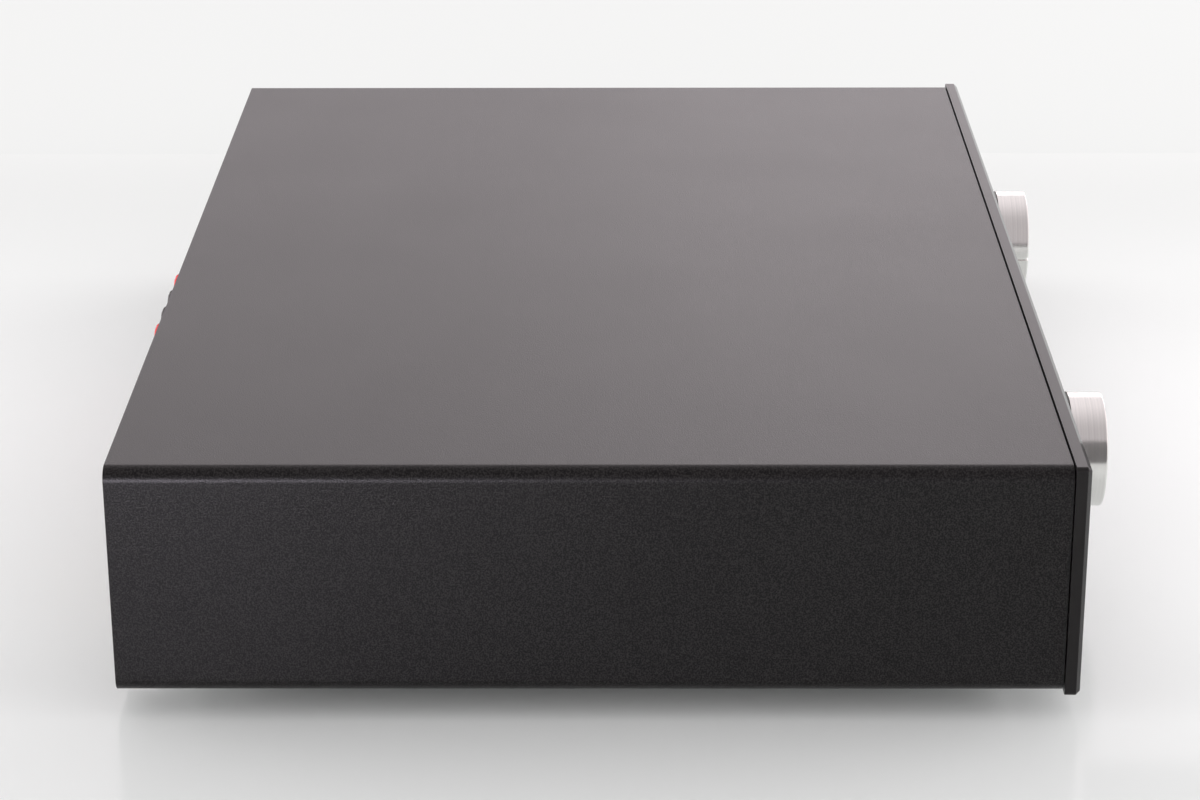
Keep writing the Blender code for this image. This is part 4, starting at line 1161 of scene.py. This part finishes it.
# Studio. A glossy white sheet on a larger matt base under a pale sky. Soft boxes stand behind, at
# both ends and in front, with a low key at the rear left. A grey card beside the selector knob,
# which only polished metal shows, and the camera are on the amplifier's left side.
FOCAL_LENGTH = 95.43  # in millimetres, on a sensor 36 wide
EYE = (-1.13924, -0.00639, 0.47018)
HEADING = math.radians(0.454)
PITCH = math.radians(21.531)
ROLL = math.radians(-0.186)
SHEET_REAR = 0.389
SHEET_FRONT = -2.0
SHEET_SIDE = 6
BASE_SIDE = 6
BASE_DEPTH = 0.0045  # the matt base is seen this far under the sheet's surface
# Colours of the matt base: painted shade near the camera and at the far back, and a painted pool
# of light round the amplifier.
NEAR_PAINTED_SHADE = (0.73, 0.788, 0.764, 1)
PAINTED_POOL_OF_LIGHT = (0.84, 0.907, 0.88, 1)
FAR_PAINTED_SHADE = (0.64, 0.69, 0.667, 1)
LIGHT = (1.05, 0.97, 1.0)
KEY_LIGHT = (1.0, 0.93, 1.06)
KEY_LEVEL = 0.044
CARD_SPOT = (-0.17, -0.212, 0.0655)
CARD_SIZE = (0.041, 0.096)


def add_stage(name, shape, finish):
    """Adds a shape of the studio, which isn't part of the amplifier, to the scene with its finish.
    """
    thing = new_object(name, shape, [finish])
    return thing


def flat_sheet(matrix, width, length):
    """A flat rectangle round the place and turn that a matrix gives."""
    shape = bmesh.new()
    matrix = matrix @ Matrix.Diagonal((width, length, 1, 1))
    bmesh.ops.create_grid(shape, x_segments=1, y_segments=1, size=0.5, matrix=matrix)
    return shape


def soft_box(name, spot, aim, width, height, brightness, glossy=False):
    """A square lamp of an even brightness, where 1 is white. Gloss shows it only if told to."""
    lamp = bpy.data.lights.new(name, "AREA")
    lamp.shape = "RECTANGLE"
    lamp.size = width
    lamp.size_y = height
    lamp.energy = brightness * math.pi * width * height
    lamp.color = LIGHT
    box = bpy.data.objects.new(name, lamp)
    turn = (Vector(aim) - Vector(spot)).to_track_quat("-Z", "Y").to_matrix().to_4x4()
    box.matrix_world = Matrix.Translation(spot) @ turn
    box.visible_glossy = glossy
    bpy.context.scene.collection.objects.link(box)
    return box


# The sheet is clear and lets light through. Its share of mirroring grows as it is seen flatter,
# and fades out towards the camera and towards the rear edge.
clear, place = start_finish("clear_sheet")
slant = place.node("LayerWeight", {}, {"Blend": 0.5}, "Facing")
away, _, _ = place.axes()
share = 0.04 + slant.math("POWER", slant, 5) * 0.96
share = share * away.ramp(-0.62, -0.40, 0, 0.9) * away.ramp(-0.1, 0.32, 1, 0.1)
through = place.node("BsdfTransparent", {}, {})
mirror = place.node("BsdfAnisotropic", {}, {"Roughness": 0.16})
both = place.node("MixShader", {}, {0: share, 1: through, 2: mirror})
place.node("OutputMaterial", {}, {"Surface": both})
matrix = Matrix.Translation(((SHEET_FRONT + SHEET_REAR) / 2, 0, 0))
shape = flat_sheet(matrix, SHEET_REAR - SHEET_FRONT, 2 * SHEET_SIDE)
add_stage("clear_sheet", shape, clear)

matt, place = start_finish("matt_base")
away, _, _ = place.axes()
# The base's colour is painted light: lighter in a band round the amplifier, darker towards the
# camera and towards the far back.
paint = away.ramp(-0.30, -0.14).mix(NEAR_PAINTED_SHADE, PAINTED_POOL_OF_LIGHT)
paint = away.ramp(0.0, 0.36).mix(paint, FAR_PAINTED_SHADE)
end_finish(place, {"Base Color": paint, "Roughness": 0.8, "Specular IOR Level": 0.0})
shape = flat_sheet(Matrix.Translation((0, 0, -BASE_DEPTH)), 2 * BASE_SIDE, 2 * BASE_SIDE)
add_stage("base", shape, matt)

soft_box("back", (2.2, -1.1, 0.95), (0, 0, 0.1), 2.4, 0.9, 0.8, glossy=True)
soft_box("right", (0.0, -4.5, 1.0), (0, -0.2, 0), 7.8, 1.65, 8.2)
soft_box("rear", (-0.2, 4.5, 1.0), (0, 0.2, 0), 7.2, 1.65, 6.5)
soft_box("front", (-3.4, 0.0, 1.0), (-0.2, 0, 0), 3.6, 1.4, 1.7)
spot = (-0.97, 0.38, KEY_LEVEL)
key = soft_box("key", spot, (-0.22, 0.06, KEY_LEVEL), 0.45, 0.08, 96.0, glossy=True)
key.data.color = KEY_LIGHT
key.visible_diffuse = False

world = bpy.data.worlds.new("studio")
world.use_nodes = True
world.node_tree.nodes.clear()
sky = Wire(world.node_tree).node("TexCoord", {}, {}, "Generated")
behind, side, up = sky.axes()
band = behind.ramp(0.86, 0.98, 0.0, 1.35) * up.ramp(0.13, 0.27, 0.0, 1.0)
level = behind.ramp(-0.6, 0.7, 0.56, 1.0) + band + side * side * 0.4
ambient = sky.node("Background", {}, {"Color": (*LIGHT, 1), "Strength": level})
sky.node("OutputWorld", {}, {"Surface": ambient})
bpy.context.scene.world = world

grey_card, place = start_finish("card")
end_finish(place, {"Base Color": grey(0.18), "Roughness": 0.8})
matrix = Matrix.Translation(CARD_SPOT) @ Matrix.Rotation(math.radians(90), 4, "Y")
card = add_stage("card", flat_sheet(matrix, *CARD_SIZE), grey_card)
card.visible_camera = False
card.visible_diffuse = False
card.visible_shadow = False

optics = bpy.data.cameras.new("camera")
optics.lens = FOCAL_LENGTH
optics.sensor_width = 36
camera = bpy.data.objects.new("camera", optics)
flat = math.cos(PITCH)
ahead = Vector((flat * math.cos(HEADING), flat * math.sin(HEADING), -math.sin(PITCH)))
turn = ahead.to_track_quat("-Z", "Y").to_matrix().to_4x4() @ Matrix.Rotation(ROLL, 4, "Z")
camera.matrix_world = Matrix.Translation(EYE) @ turn
bpy.context.scene.collection.objects.link(camera)
bpy.context.scene.camera = camera
bpy.context.scene.view_settings.view_transform = "Standard"
